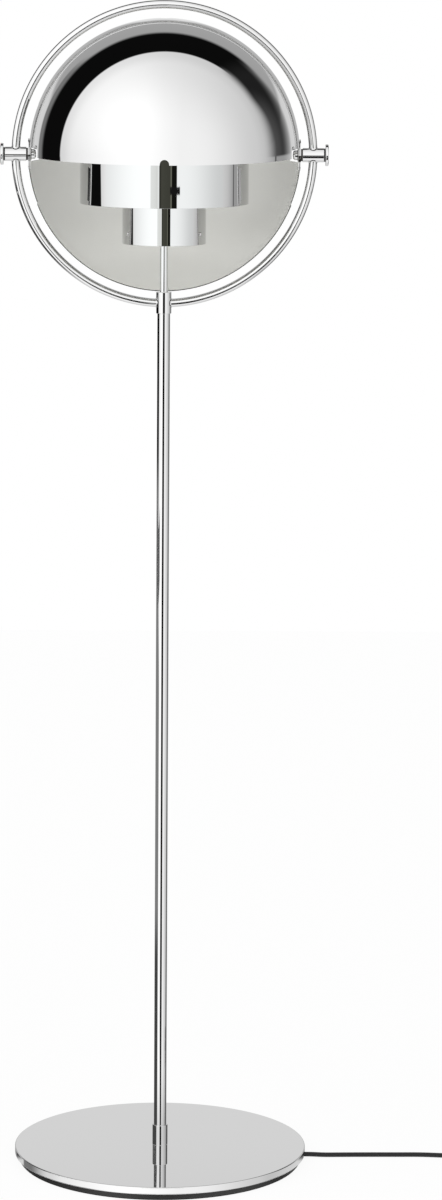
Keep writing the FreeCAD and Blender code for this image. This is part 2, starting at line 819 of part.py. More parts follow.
def foot_switch_reliefs():
    """Tapered sleeves at both ends of the foot switch."""
    near = side_cone(switch_relief_tip_radius, switch_relief_radius, switch_near_x,
                     switch_near_x + switch_relief_length, switch_inlet_height, switch_centre[1])
    far = side_cone(switch_relief_radius, switch_relief_tip_radius, switch_far_x - switch_relief_length,
                    switch_far_x, switch_inlet_height, switch_centre[1])
    return Part.makeCompound([near, far])


# ---------------------------------------------------------------- coil of spare cord
coil_inner_radius = coil_outer_radius - coil_turns_in_a_layer * coil_pitch
coil_rate = coil_pitch / (2 * math.pi)
coil_layer_angle = coil_turns_in_a_layer * 2 * math.pi
coil_end_angle = 2 * coil_layer_angle + math.pi


def coil_place(angle):
    """Place and way of travel on the coil after a turn of `angle` from its nearest point to the front.

    The radius falls at a steady rate over the lower layer, turns back over half a turn that also climbs to
    the upper layer, and grows at the same rate there.
    """
    climb = min(max(angle - coil_layer_angle, 0), math.pi)
    out = max(angle - coil_layer_angle - math.pi, 0)
    inwards = min(angle, coil_layer_angle)
    radius = coil_outer_radius - coil_rate * (inwards + climb - climb ** 2 / math.pi - out)
    radius_rate = -coil_rate if angle <= coil_layer_angle else coil_rate * (2 * climb / math.pi - 1)
    share = climb / math.pi
    height = coil_height + coil_pitch * share ** 2 * (3 - 2 * share)
    height_rate = coil_pitch * 6 * share * (1 - share) / math.pi
    turn = angle - math.pi / 2
    place = vector(coil_centre[0] + radius * math.cos(turn), coil_centre[1] + radius * math.sin(turn), height)
    way = vector(radius_rate * math.cos(turn) - radius * math.sin(turn),
                 radius_rate * math.sin(turn) + radius * math.cos(turn), height_rate)
    return place, way.normalize()


coil_start, coil_start_way = coil_place(0)
coil_end, coil_end_way = coil_place(coil_end_angle)
coil_lead = 2 * cord_radius
coil_entry = coil_start - coil_start_way * coil_lead
coil_exit = coil_end + coil_end_way * coil_lead


def print_coil_gap():
    """Least gap between two turns of the coil, measured on points half a diameter apart."""
    step = cord_radius / coil_outer_radius
    count = int(coil_end_angle / step)
    places = [coil_place(i * step)[0] for i in range(count + 1)]
    apart = int(math.pi / 2 / step)
    least = min(places[i].distanceToPoint(places[j])
                for i in range(count + 1) for j in range(i + apart, count + 1))
    print("cord_coil least gap to itself", round(least - 2 * cord_radius, 2))


def cord_coil():
    """Spare cord in one unbroken tube, with a straight end one diameter long at each end."""
    quarters = round(coil_end_angle / (math.pi / 2))
    places = [coil_place(i * math.pi / 2) for i in range(quarters + 1)]
    edges = [Part.LineSegment(coil_entry, coil_start).toShape()]
    for near, far in zip(places, places[1:]):
        edges += biarc(near[0], near[1], far[0], far[1])
    edges.append(Part.LineSegment(coil_end, coil_exit).toShape())
    solid = sweep_tube(edges, cord_radius, coil_entry, coil_start_way)
    length = sum(e.Length for e in edges)
    print("cord_coil length", round(length, 1), "inner radius", round(coil_inner_radius, 1),
          "volume over section times length", round(solid.Volume / (math.pi * cord_radius ** 2 * length), 4))
    print_coil_gap()
    return solid


def coil_tie():
    """Flat strap round the coil on its +X side."""
    quarter = coil_rate * math.pi / 2
    inner = coil_centre[0] + coil_inner_radius - quarter / 2 - cord_radius - moving_gap
    outer = coil_centre[0] + coil_outer_radius - quarter + cord_radius + moving_gap
    bottom = coil_height - cord_radius - lying_gap / 2
    top = coil_height + coil_pitch + cord_radius + moving_gap
    y_range = (coil_centre[1] - tie_width / 2, coil_centre[1] + tie_width / 2)
    grow = tie_thickness
    strap = block((inner - grow, outer + grow), y_range, (bottom - grow, top + grow))
    return strap.cut(block((inner, outer), y_range, (bottom, top)))


# ---------------------------------------------------------------- outer cord and plug
plug_y = coil_exit.y + 0.6
plug_relief_tip_x = coil_centre[0] - 46.0
plug_back_x = plug_relief_tip_x - plug_relief_length
plug_face_x = plug_back_x - plug_length


def mains_cord():
    """Cord on the floor from the base to the foot switch."""
    return rounded_tube(mains_cord_points, cord_radius, "mains_cord")


def switch_cord():
    """Cord from the foot switch to the coil."""
    approach = coil_entry - coil_start_way * 9.0
    points = [(switch_far_x, switch_centre[1], switch_inlet_height), (513.0, -8.0, 7.0), (524.5, -8.3, 5.4)]
    return rounded_tube(points + [tuple(approach), tuple(coil_entry)], cord_radius, "switch_cord")


def plug_cord():
    """Cord from the coil to the plug."""
    leave = coil_exit + coil_end_way * 8.0
    points = [tuple(coil_exit), tuple(leave), (524.5, 87.6, 9.3), (513.5, plug_y, plug_height)]
    return rounded_tube(points + [(plug_relief_tip_x, plug_y, plug_height)], cord_radius, "plug_cord")


def plug_relief():
    """Tapered sleeve behind the plug."""
    return side_cone(plug_relief_radius, plug_relief_tip_radius, plug_back_x, plug_relief_tip_x, plug_height, plug_y)


def plug_body():
    """Flat two-pin plug body with rounded edges."""
    body = block((plug_face_x, plug_back_x), (plug_y - plug_width / 2, plug_y + plug_width / 2),
                 (plug_height - plug_thickness / 2, plug_height + plug_thickness / 2))
    return body.makeFillet(plug_edge_round, [e for e in body.Edges if abs(e.tangentAt(e.FirstParameter).x) > 0.9])


def plug_pins():
    """Two round pins with softened tips."""
    pins = []
    for side in (-1, 1):
        y = plug_y + side * plug_pin_spacing / 2
        pin = side_rod(plug_pin_radius, plug_face_x - plug_pin_length, plug_face_x, plug_height, y)
        tip = [e for e in pin.Edges if e.BoundBox.XMax < plug_face_x - plug_pin_length + 1e-4]
        pins.append(pin.makeFillet(plug_pin_radius / 2, tip))
    return Part.makeCompound(pins)


# ---------------------------------------------------------------- all pieces by name
def all_pieces():
    """Every separate piece of the lamp, keyed by its node's name."""
    return {
        "base_plate": base_plate(),
        "base_under_disc": base_under_disc(),
        "base_foot_mat": base_foot_mat(),
        "base_washer": base_washer(),
        "base_nut": base_nut(),
        "base_nipple": base_nipple(),
        "pole_foot_collar": pole_foot_collar(),
        "foot_collar_screw": foot_collar_screw(),
        "pole_bottom_bush": pole_bush(plate_top, plate_top + bush_length),
        "pole": pole(),
        "pole_top_bush": pole_bush(pole_top - bush_length, pole_top),
        "pole_top_nipple": pole_top_nipple(),
        "ring_collar": ring_collar(),
        "ring_upper_arc": ring_upper_arc(),
        "ring_lower_right_arc": ring_lower_right_arc(),
        "ring_lower_left_arc": mirrored(ring_lower_right_arc()),
        "right_pivot_sleeve": pivot_sleeve(),
        "left_pivot_sleeve": mirrored(pivot_sleeve()),
        "right_pivot_spindle": pivot_spindle(),
        "left_pivot_spindle": mirrored(pivot_spindle()),
        "right_pivot_washers": pivot_washers(),
        "left_pivot_washers": mirrored(pivot_washers()),
        "right_knob": knob(),
        "left_knob": mirrored(knob()),
        "upper_shade": shade(inner_shade_radius, -upper_shade_dip),
        "lower_shade": shade(shade_radius, 180.0),
        "stem": stem(),
        "stem_nuts": stem_nuts(),
        "spider": spider(),
        "spider_screws": spider_screws(),
        "small_cylinder": small_cylinder(),
        "large_cylinder": large_cylinder(),
        "cylinder_brackets": cylinder_brackets(),
        "holder_cap": holder_cap(),
        "holder_insulator": holder_insulator(),
        "holder_shell": holder_shell(),
        "holder_thread": holder_thread(),
        "holder_contact": holder_contact(),
        "bulb_cap": bulb_cap(),
        "bulb_glass": bulb_glass(),
        "inner_flex": inner_flex(),
        "cord_strain_relief": cord_strain_relief(),
        "mains_cord": mains_cord(),
        "foot_switch_base": foot_switch_base(),
        "foot_switch_cover": foot_switch_cover(),
        "foot_switch_button": foot_switch_button(),
        "foot_switch_spring": foot_switch_spring(),
        "foot_switch_reliefs": foot_switch_reliefs(),
        "switch_cord": switch_cord(),
        "cord_coil": cord_coil(),
        "coil_tie": coil_tie(),
        "plug_cord": plug_cord(),
        "plug_relief": plug_relief(),
        "plug_body": plug_body(),
        "plug_pins": plug_pins(),
    }


os.makedirs("parts", exist_ok=True)
for node, shape in all_pieces().items():
    box = shape.BoundBox
    print(node, "valid" if shape.isValid() else "NOT VALID", len(shape.Solids), round(shape.Volume, 1),
          [round(v, 2) for v in (box.XMin, box.XMax, box.YMin, box.YMax, box.ZMin, box.ZMax)])
    shape.exportStep("parts/" + node + ".step")
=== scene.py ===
"""Looks of a chrome floor lamp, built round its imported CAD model.

A round base carries a slim pole. The ring at its top holds two quarter-sphere shades on one axis, round a bulb
that stands inside two open cylinders. Everything is in metres in the CAD model's frame: +Z up, front towards -Y.
"""

import math

import bpy
import numpy as np
from mathutils import Matrix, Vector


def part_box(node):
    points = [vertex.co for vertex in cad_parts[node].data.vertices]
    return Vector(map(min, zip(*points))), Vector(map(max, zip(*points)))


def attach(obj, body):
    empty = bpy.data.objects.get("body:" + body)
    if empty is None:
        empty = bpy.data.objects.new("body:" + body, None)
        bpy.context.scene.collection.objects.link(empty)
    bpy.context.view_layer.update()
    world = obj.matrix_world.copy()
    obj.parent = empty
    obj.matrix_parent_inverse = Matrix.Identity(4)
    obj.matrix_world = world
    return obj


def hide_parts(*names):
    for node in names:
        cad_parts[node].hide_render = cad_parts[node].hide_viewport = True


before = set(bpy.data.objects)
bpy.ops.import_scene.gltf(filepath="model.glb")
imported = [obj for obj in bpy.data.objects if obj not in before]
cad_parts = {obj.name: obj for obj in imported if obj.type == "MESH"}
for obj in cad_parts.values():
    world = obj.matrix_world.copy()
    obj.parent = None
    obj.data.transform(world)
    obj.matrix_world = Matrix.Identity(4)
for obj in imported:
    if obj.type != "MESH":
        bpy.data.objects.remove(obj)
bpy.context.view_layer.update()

bl_info = {
    "name": "Chrome floor lamp",
    "version": (1, 0, 0),
    "blender": (4, 5, 0),
    "location": "3D View > Sidebar > Lamp",
    "description": "Builds the looks of a chrome floor lamp with two tilting shades round its CAD model",
    "category": "Object",
}

MM = 0.001
WHITE = (1.0, 1.0, 1.0, 1.0)


# ---------------------------------------------------------------- colours and sizes a user may change
def linear(code):
    """Linear RGB of an sRGB hex colour such as #D2D3D4, with alpha 1."""
    srgb = np.array([int(code[i:i + 2], 16) for i in (1, 3, 5)]) / 255.0
    values = np.where(srgb <= 0.04045, srgb / 12.92, ((srgb + 0.055) / 1.055) ** 2.4)
    return (*(float(v) for v in values), 1.0)


def length_property(name, description, default):
    """A length in metres, shown with its unit."""
    return bpy.props.FloatProperty(name=name, description=description, default=default, min=0.0, unit="LENGTH")


def colour_property(name, description, code):
    """A colour, given as an sRGB hex value."""
    return bpy.props.FloatVectorProperty(name=name, description=description, default=linear(code), size=4,
                                         min=0.0, max=1.0, subtype="COLOR")


def low(node, axis=2):
    """Lowest coordinate of a CAD node along an axis."""
    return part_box(node)[0][axis]


def high(node, axis=2):
    """Highest coordinate of a CAD node along an axis."""
    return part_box(node)[1][axis]


PIVOT_HEIGHT = (high("left_knob") + low("left_knob")) / 2
RING_TUBE_RADIUS = 5.3 * MM


class LampSizes(bpy.types.PropertyGroup):
    """Radii and walls of the turned and spun pieces."""

    base_radius: length_property("Base radius", "Radius of the chromed base plate", high("base_plate", 0))
    base_edge: length_property("Base edge", "Rounding of the base plate's rims", 1.0 * MM)
    pole_radius: length_property("Pole radius", "Outer radius of the pole", high("pole", 0))
    collar_radius: length_property("Foot collar radius", "Radius of the collar at the pole's foot",
                                   high("pole_foot_collar", 0))
    ring_radius: length_property("Ring radius", "From the ring's middle to the middle of its tube",
                                 high("ring_upper_arc") - RING_TUBE_RADIUS - PIVOT_HEIGHT)
    ring_tube_radius: length_property("Ring tube radius", "Outer radius of the ring's tube",
                                      high("ring_upper_arc", 1))
    shade_wall: length_property("Shade wall", "Thickness of the shades' metal", 1.0 * MM)
    cylinder_wall: length_property("Cylinder wall", "Thickness of the two cylinders' metal", 1.0 * MM)
    stem_radius: length_property("Stem radius", "Outer radius of the stem inside the ring", high("stem", 0))
    cord_diameter: length_property("Cord diameter", "Thickness of the woven cord", 6.0 * MM)


class LampColours(bpy.types.PropertyGroup):
    """Colours of the finishes."""

    chrome: colour_property("Chrome", "Polished chrome plating", "#D3D3D3")
    paint: colour_property("Paint", "Matt white paint inside the shades and cylinders", "#F6F6F2")
    zinc: colour_property("Zinc", "Zinc plated steel of nuts, screws and bushes", "#B9BCBF")
    black_paint: colour_property("Black paint", "Black powder paint of the disc under the base", "#1B1B1A")
    plastic: colour_property("Plastic", "Black moulded plastic of the foot switch and plug", "#161617")
    cord: colour_property("Cord", "Black woven sleeve of the cord", "#121213")
    glass: colour_property("Glass", "Frosted glass of the bulb", "#F7F5EF")
    brass: colour_property("Brass", "Brass contacts and plug pins", "#C9A45A")
    floor: colour_property("Floor", "Pale studio floor", "#FAFAFA")


# ---------------------------------------------------------------- outlines and surfaces
def outline(corners, closed=True, steps=4):
    """Outline in the plane of radius and height with softened corners, as rows of place and outward normal.

    Each corner is (radius, height, rounding). Its arc starts where the run in is tangent to a circle of the
    rounding and turns by the angle between the runs; the normal turns with it. A rounding of 0 leaves the corner
    sharp, with both runs' normals at one place. Outwards is to the right of the way along the outline.
    """
    table = np.array(corners, float)
    place = table[:, 0] + 1j * table[:, 1]
    rounding = table[:, 2]
    way_out = np.roll(place, -1) - place
    way_out = way_out / np.abs(way_out)
    way_in = np.roll(way_out, 1)
    if not closed:
        way_in[0] = way_out[0]
        way_out[-1] = way_in[-1]
    turn = np.angle(way_out / way_in)
    side = np.sign(turn)
    start = way_in * rounding * np.tan(np.abs(turn) / 2)
    centre = place - start + 1j * way_in * side * rounding
    normal = -1j * way_in[:, None] * np.exp(1j * turn[:, None] * np.linspace(0, 1, steps + 1))
    points = centre[:, None] + (side * rounding)[:, None] * normal
    rows = np.stack([points.real, points.imag, normal.real, normal.imag], axis=-1).reshape(-1, 4)
    return np.vstack([rows, rows[:1]]) if closed else rows


def turned(rows, count=192, centre=(0.0, 0.0), axis="Z"):
    """Surface of revolution: every outline point goes round the axis at its radius, at `count` even angles.

    On axis Z the centre is (x, y) and heights are z. On axis X it is (y, z) and heights are x.
    """
    angle = 2 * np.pi * (np.arange(count + 1) % count) / count
    cos, sin = np.cos(angle)[:, None], np.sin(angle)[:, None]
    radius, height, normal_out, normal_up = (column[None, :] for column in rows.T)
    one = np.ones_like(cos)
    places = (centre[0] + cos * radius, centre[1] + sin * radius, one * height)
    normals = (cos * normal_out, sin * normal_out, one * normal_up)
    order = (0, 1, 2) if axis == "Z" else (2, 0, 1)
    return np.stack([places[i] for i in order], -1), np.stack([normals[i] for i in order], -1)


def mirrored(patch):
    """The patch on the other side of the lamp's middle plane."""
    flip = np.array([-1.0, 1.0, 1.0])
    return tuple(part * flip if isinstance(part, np.ndarray) else part for part in patch)


def tube_wall(outer, inner, bottom, top, rounding):
    """Closed outline of a tube's wall with softened ends."""
    return outline([(inner, bottom, rounding), (outer, bottom, rounding),
                    (outer, top, rounding), (inner, top, rounding)])


def quads_of(patch, material, flat):
    """Corner places and corner normals of a grid's quads, turned so that they face along the normals."""
    points, normals = patch
    corners = [(slice(None, -1), slice(None, -1)), (slice(1, None), slice(None, -1)),
               (slice(1, None), slice(1, None)), (slice(None, -1), slice(1, None))]
    place = np.stack([points[c] for c in corners], axis=2).reshape(-1, 4, 3)
    normal = np.stack([normals[c] for c in corners], axis=2).reshape(-1, 4, 3)
    face = np.cross(place[:, 2] - place[:, 0], place[:, 3] - place[:, 1])
    size = np.linalg.norm(face, axis=1)
    kept = size > 1e-12
    place, normal, face, size = place[kept], normal[kept], face[kept], size[kept]
    away = np.einsum("ij,ij->i", face, normal.sum(axis=1)) < 0
    place[away] = place[away][:, ::-1]
    normal[away] = normal[away][:, ::-1]
    if flat:
        face[away] *= -1
        normal = np.repeat((face / size[:, None])[:, None, :], 4, axis=1)
    return place, normal, np.full(len(place), material)


WELD_DISTANCE = 0.5 * 1e-6
OFF_ROUND_VALUES = 0.137


def surface_mesh(name, patches):
    """Mesh of grid patches (places, normals, material number, flat or not), with each corner's own normal.

    Corners that share a place become one vertex, and a quad with two corners at one place becomes a triangle, so
    that seams and poles are closed.
    """
    parts = [quads_of(patch[:2], patch[2] if len(patch) > 2 else 0, len(patch) > 3 and patch[3])
             for patch in patches]
    place = np.concatenate([part[0] for part in parts])
    normal = np.concatenate([part[1] for part in parts])
    number = np.concatenate([part[2] for part in parts])
    key = np.round(place.reshape(-1, 3) / WELD_DISTANCE + OFF_ROUND_VALUES).astype(np.int64)
    _, first, index = np.unique(key, axis=0, return_index=True, return_inverse=True)
    vertices = place.reshape(-1, 3)[first]
    index = index.reshape(-1, 4)
    same = index == np.roll(index, -1, axis=1)
    whole = ~same.any(axis=1)
    single = same.sum(axis=1) == 1
    drop = (np.argmax(same[single], axis=1) + 1) % 4
    keep = (drop[:, None] + np.arange(1, 4)) % 4
    rows = np.arange(len(drop))[:, None]
    quads, triangles = index[whole], index[single][rows, keep]
    corner_normals = np.concatenate([normal[whole].reshape(-1, 3), normal[single][rows, keep].reshape(-1, 3)])
    mesh = bpy.data.meshes.new(name)
    mesh.from_pydata(vertices.tolist(), [], quads.tolist() + triangles.tolist())
    mesh.polygons.foreach_set("use_smooth", np.ones(len(mesh.polygons), bool))
    mesh.polygons.foreach_set("material_index", np.concatenate([number[whole], number[single]]).astype(np.int32))
    length = np.linalg.norm(corner_normals, axis=1, keepdims=True)
    mesh.normals_split_custom_set((corner_normals / np.maximum(length, 1e-9)).tolist())
    mesh.update()
    return mesh


def add_object(name, data):
    """New object in the scene with its place in its data."""
    made = bpy.data.objects.new(name, data)
    bpy.context.scene.collection.objects.link(made)
    return made


def piece(name, patches, materials, body, node):
    """A finished piece that rides on a body and stands for its CAD node."""
    made = add_object(name, surface_mesh(name, patches))
    for material in materials:
        made.data.materials.append(material)
    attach(made, body)
    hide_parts(node)
    return made


def paint_nodes(material, *nodes):
    """CAD nodes whose own shape stays take a finish."""
    for node in nodes:
        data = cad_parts[node].data
        data.materials.clear()
        data.materials.append(material)


# ---------------------------------------------------------------- materials
def add(tree, kind, inputs=None, **settings):
    """Adds a node with its settings. An input that is a socket is linked, and any other is its value."""
    made = tree.nodes.new(kind)
    for name, value in settings.items():
        setattr(made, name, value)
    for key, value in (inputs or {}).items():
        if isinstance(value, bpy.types.NodeSocket):
            tree.links.new(value, made.inputs[key])
        else:
            made.inputs[key].default_value = value
    return made


def finish(name, **values):
    """A new material with one Principled shader. Returns it, its nodes and the shader."""
    made = bpy.data.materials.new(name)
    made.use_nodes = True
    tree = made.node_tree
    tree.nodes.clear()
    shader = add(tree, "ShaderNodeBsdfPrincipled", {key.replace("_", " "): v for key, v in values.items()})
    output = add(tree, "ShaderNodeOutputMaterial")
    tree.links.new(shader.outputs[0], output.inputs[0])
    return made, tree, shader


def math_node(tree, operation, *values):
    """Result of one sum on sockets or numbers."""
    return add(tree, "ShaderNodeMath", dict(enumerate(values)), operation=operation).outputs[0]


def mixed_colour(tree, factor, first, second):
    """First colour where the factor is 0 and second where it is 1."""
    return add(tree, "ShaderNodeMix", {0: factor, 6: first, 7: second}, data_type="RGBA").outputs[2]


def pattern_size(millimetres):
    """Scale of a noise or cell texture on Object coordinates whose spots are this far apart."""
    return 1.0 / (millimetres * MM)


def spots(tree, millimetres, detail=2.0):
    """Even noise from 0 to 1 over the piece, its spots this far apart."""
    where = add(tree, "ShaderNodeTexCoord").outputs["Object"]
    return add(tree, "ShaderNodeTexNoise", {"Vector": where, "Scale": pattern_size(millimetres),
                                            "Detail": detail, "Roughness": 0.5}).outputs[0]


def between(tree, value, least, most):
    """A 0 to 1 value spread between two others."""
    return add(tree, "ShaderNodeMapRange", {0: value, 3: least, 4: most}).outputs[0]


def relief(tree, value, strength, millimetres):
    """Normal of a surface raised by a 0 to 1 value."""
    return add(tree, "ShaderNodeBump", {"Strength": strength, "Distance": millimetres * MM,
                                        "Height": value}).outputs[0]


def shades_of(tree, value, colour, darker):
    """Colour that varies between a darker tone and itself."""
    deep = (*(channel * darker for channel in colour[:3]), 1.0)
    return mixed_colour(tree, value, deep, colour)


def follow(tree, shader, value, tone=None, gloss=None, bump=None):
    """Lets a shader follow a 0 to 1 value: its colour (colour, darker), its roughness (least, most), its relief."""
    if tone:
        tree.links.new(shades_of(tree, value, *tone), shader.inputs["Base Color"])
    if gloss:
        tree.links.new(between(tree, value, *gloss), shader.inputs["Roughness"])
    if bump:
        tree.links.new(relief(tree, value, *bump), shader.inputs["Normal"])


def spotted(name, spot, tone=None, gloss=None, bump=None, **values):
    """A material that follows one noise, whose spots are given by their distance in millimetres and detail."""
    made, tree, shader = finish(name, **values)
    follow(tree, shader, spots(tree, *spot), tone, gloss, bump)
    return made


def chrome_finish(colours):
    """Decorative chrome: nickel and chromium plated on steel that was buffed to a mirror.

    The eye gets sharp, slightly blue-grey reflections. Buffing leaves faint cloudy patches some 25 mm across,
    where the gloss is a little softer.
    """
    return spotted("Polished chrome plating", (25.0,), gloss=(0.004, 0.016), Metallic=1.0,
                   Base_Color=colours.chrome)


def paint_finish(colours):
    """Matt warm white stove enamel, sprayed on the inside of the metal.

    The eye gets a soft white with no reflections and the fine pebble of sprayed paint, about 1.2 mm across. The
    real pebble is nearer 0.5 mm and is drawn coarser so that it shows.
    """
    return spotted("Matt white stove enamel", (1.2,), (colours.paint, 0.965), bump=(0.12, 0.05), Roughness=0.62)


def zinc_finish(colours):
    """Bright zinc plate on turned steel: satin grey with a fine grain and soft highlights."""
    return spotted("Zinc plated steel", (0.8, 4.0), (colours.zinc, 0.86), (0.22, 0.4), Metallic=1.0)


def black_paint_finish(colours):
    """Black powder coat on a steel disc: a dull black with orange-peel spots about 1.5 mm across."""
    return spotted("Black powder coat", (1.5,), gloss=(0.38, 0.5), bump=(0.2, 0.04),
                   Base_Color=colours.black_paint, IOR=1.5)


def rubber_finish(colours):
    """Cut sheet of nitrile rubber: matt dark grey with a faint grit of 0.6 mm."""
    return spotted("Nitrile rubber sheet", (0.6, 3.0), (linear("#1B1B1B"), 0.8), bump=(0.3, 0.05),
                   Roughness=0.85, IOR=1.52)


def plastic_finish(colours):
    """Black ABS moulded in a spark-eroded tool: dull black with an even fine leather of 0.7 mm."""
    made, tree, shader = finish("Moulded black ABS", Base_Color=colours.plastic, IOR=1.53)
    where = add(tree, "ShaderNodeTexCoord").outputs["Object"]
    cells = add(tree, "ShaderNodeTexVoronoi", {"Vector": where, "Scale": pattern_size(0.7)}).outputs["Distance"]
    follow(tree, shader, cells, gloss=(0.42, 0.55), bump=(0.25, 0.05))
    return made


def gloss_plastic_finish(colours):
    """Black phenolic resin pressed in a polished tool: deep black gloss with faint flow marks of 9 mm."""
    return spotted("Pressed black phenolic", (9.0, 3.0), (colours.plastic, 0.8), (0.14, 0.24),
                   IOR=1.6, Coat_Weight=0.3, Coat_Roughness=0.05)


def ceramic_finish(colours):
    """Glazed steatite: creamy white with a clear gloss and faint specks of 1 mm."""
    return spotted("Glazed steatite", (1.0, 4.0), (linear("#EFEDE6"), 0.92), IOR=1.55, Roughness=0.2)


def brass_finish(colours):
    """Drawn brass: warm yellow metal, a little dulled in patches of 4 mm."""
    return spotted("Drawn brass", (4.0, 3.0), (colours.brass, 0.85), (0.16, 0.32), Metallic=1.0)


def glass_finish(colours):
    """Blown glass, frosted white inside by a silica coat: a soft milky globe with a clear outer gloss."""
    return spotted("Frosted opal glass", (14.0,), (colours.glass, 0.97), IOR=1.5, Roughness=0.28,
                   Subsurface_Weight=0.35, Subsurface_Radius=(0.01, 0.01, 0.01), Coat_Weight=0.6,
                   Coat_Roughness=0.08)


def aluminium_finish(colours):
    """Rolled aluminium of the bulb's cap: soft grey metal with a fine drawn grain."""
    return spotted("Rolled aluminium", (0.9, 4.0), (linear("#C4C5C6"), 0.9), (0.28, 0.42), Metallic=1.0)


def fibre_finish(colours):
    """Vulcanised fibre washers: dull dark brown-grey with pressed fibres of 1 mm."""
    return spotted("Vulcanised fibre", (1.0, 5.0), (linear("#3A3632"), 0.7), Roughness=0.7)


def woven_finish(name, colours, length):
    """Cotton-look polyester sleeve braided round a rubber lead: dull black with a fine diamond weave, with painted
    shade in the hollows between the yarns.

    Sixteen yarns go round the lead each way, and cross every 1.2 mm. The weave follows the lead through its UV map:
    u runs along the lead and v round it.
    """
    made, tree, shader = finish(name, Roughness=0.82, Sheen_Weight=0.35, Sheen_Roughness=0.45)
    where = add(tree, "ShaderNodeTexCoord").outputs["UV"]
    split = add(tree, "ShaderNodeSeparateXYZ", {0: where}).outputs
    along = math_node(tree, "MULTIPLY", split[0], length / (2.4 * MM))
    round_it = math_node(tree, "MULTIPLY", split[1], 8.0)
    yarns = []
    for operation in ("ADD", "SUBTRACT"):
        turn = math_node(tree, "MULTIPLY", math_node(tree, operation, along, round_it), 2 * math.pi)
        yarns.append(math_node(tree, "SINE", turn))
    weave = math_node(tree, "MULTIPLY", *yarns)
    height = add(tree, "ShaderNodeMapRange", {0: weave, 1: -1.0, 2: 1.0}).outputs[0]
    # Painted shade: the hollows between the yarns are darkened to 0.45 of the cord's colour.
    follow(tree, shader, height, (colours.cord, 0.45), bump=(0.6, 0.35))
    return made


FINISHES = {
    "chrome": chrome_finish, "paint": paint_finish, "zinc": zinc_finish, "black_paint": black_paint_finish,
    "rubber": rubber_finish, "plastic": plastic_finish, "gloss_plastic": gloss_plastic_finish,
    "ceramic": ceramic_finish, "brass": brass_finish, "glass": glass_finish, "aluminium": aluminium_finish,
    "fibre": fibre_finish,
}
made_finishes = {}


def use(name):
    """The finish of that name, made once."""
    if name not in made_finishes:
        made_finishes[name] = FINISHES[name](bpy.context.scene.lamp_colours)
    return made_finishes[name]


# ---------------------------------------------------------------- sizes that follow the CAD model
EAR_RADIUS = 19.5 * MM
EAR_HOLE = 3.58 * MM
RELIEF_DEPTH = 10.5 * MM
RELIEF_WIDTH = 10.0 * MM
NOTCH_RADIUS = 5.7 * MM
NOTCH_INSET = 1.1 * MM
SHADE_STEP = 1.8 * MM
STRAIGHT_RIM = math.radians(2.6)
EAR_COLUMNS = 13
SCREW_HEIGHT = 1193.6 * MM
BULB_RADIUS = 30.0 * MM


# ---------------------------------------------------------------- base and pole
class LAMP_OT_base(bpy.types.Operator):
    """Make the chromed base plate and finish the pieces under it"""

    bl_idname = "lamp.base"
    bl_label = "Base"

    def execute(self, context):
        sizes = context.scene.lamp_sizes
        edge = sizes.base_edge
        recess_top, hole, recess = 14.2 * MM, 5.05 * MM, 21.0 * MM
        bottom, top = low("base_plate"), high("base_plate")
        rows = outline([(recess, bottom, 0.2 * MM), (sizes.base_radius, bottom, edge),
                        (sizes.base_radius, top, edge), (hole, top, 0.2 * MM), (hole, recess_top, 0.0),
                        (recess, recess_top, 0.0)], steps=6)
        plate = piece("base_plate_chromed", [turned(rows, 384)], [use("chrome")], "stand", "base_plate")
        plate.visible_glossy = False
        paint_nodes(use("black_paint"), "base_under_disc")
        paint_nodes(use("rubber"), "base_foot_mat")
        paint_nodes(use("zinc"), "base_washer", "base_nut", "base_nipple")
        for node in ("base_under_disc", "base_foot_mat", "base_washer", "base_nut", "base_nipple", "inner_flex"):
            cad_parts[node].visible_glossy = False
        return {"FINISHED"}


class LAMP_OT_pole(bpy.types.Operator):
    """Make the pole and the collar at its foot"""

    bl_idname = "lamp.pole"
    bl_label = "Pole"

    def execute(self, context):
        sizes = context.scene.lamp_sizes
        rows = tube_wall(sizes.pole_radius, sizes.pole_radius - 1.2 * MM, low("pole"), high("pole"), 0.2 * MM)
        piece("pole_chromed", [turned(rows, 96)], [use("chrome")], "stand", "pole")
        rows = tube_wall(sizes.collar_radius, sizes.pole_radius + 0.05 * MM, low("pole_foot_collar"),
                         high("pole_foot_collar"), 0.4 * MM)
        piece("foot_collar_chromed", [turned(rows, 96)], [use("chrome")], "stand", "pole_foot_collar")
        paint_nodes(use("zinc"), "foot_collar_screw", "pole_bottom_bush", "pole_top_bush", "pole_top_nipple")
        return {"FINISHED"}


# ---------------------------------------------------------------- ring
def bent_tube(ring_radius, tube_radius, start, end, count=192, sides=48):
    """Round bar bent to the ring: a circle of the tube's radius carried along the ring from angle to angle.

    Angles are in degrees from +X towards +Z. Each end is closed by a flat disc whose radius shrinks to nothing.
    """
    along = np.radians(np.linspace(start, end, count + 1))[:, None]
    around = (2 * np.pi * (np.arange(sides + 1) % sides) / sides)[None, :]
    out = np.stack([np.cos(along), np.zeros_like(along), np.sin(along)], -1)
    front = np.array([0.0, 1.0, 0.0])
    normal = np.cos(around)[..., None] * out + np.sin(around)[..., None] * front
    middle = np.array([0.0, 0.0, PIVOT_HEIGHT]) + ring_radius * out
    patches = [(middle + tube_radius * normal, normal)]
    for index, sign in ((0, -1.0), (-1, 1.0)):
        shrink = np.array([1.0, 0.0])[:, None, None]
        angle = along[index, 0]
        way = sign * np.array([-math.sin(angle), 0.0, math.cos(angle)])
        disc = middle[index][None] + shrink * tube_radius * normal[index][None]
        patches.append((disc, np.broadcast_to(way, disc.shape).copy()))
    return patches


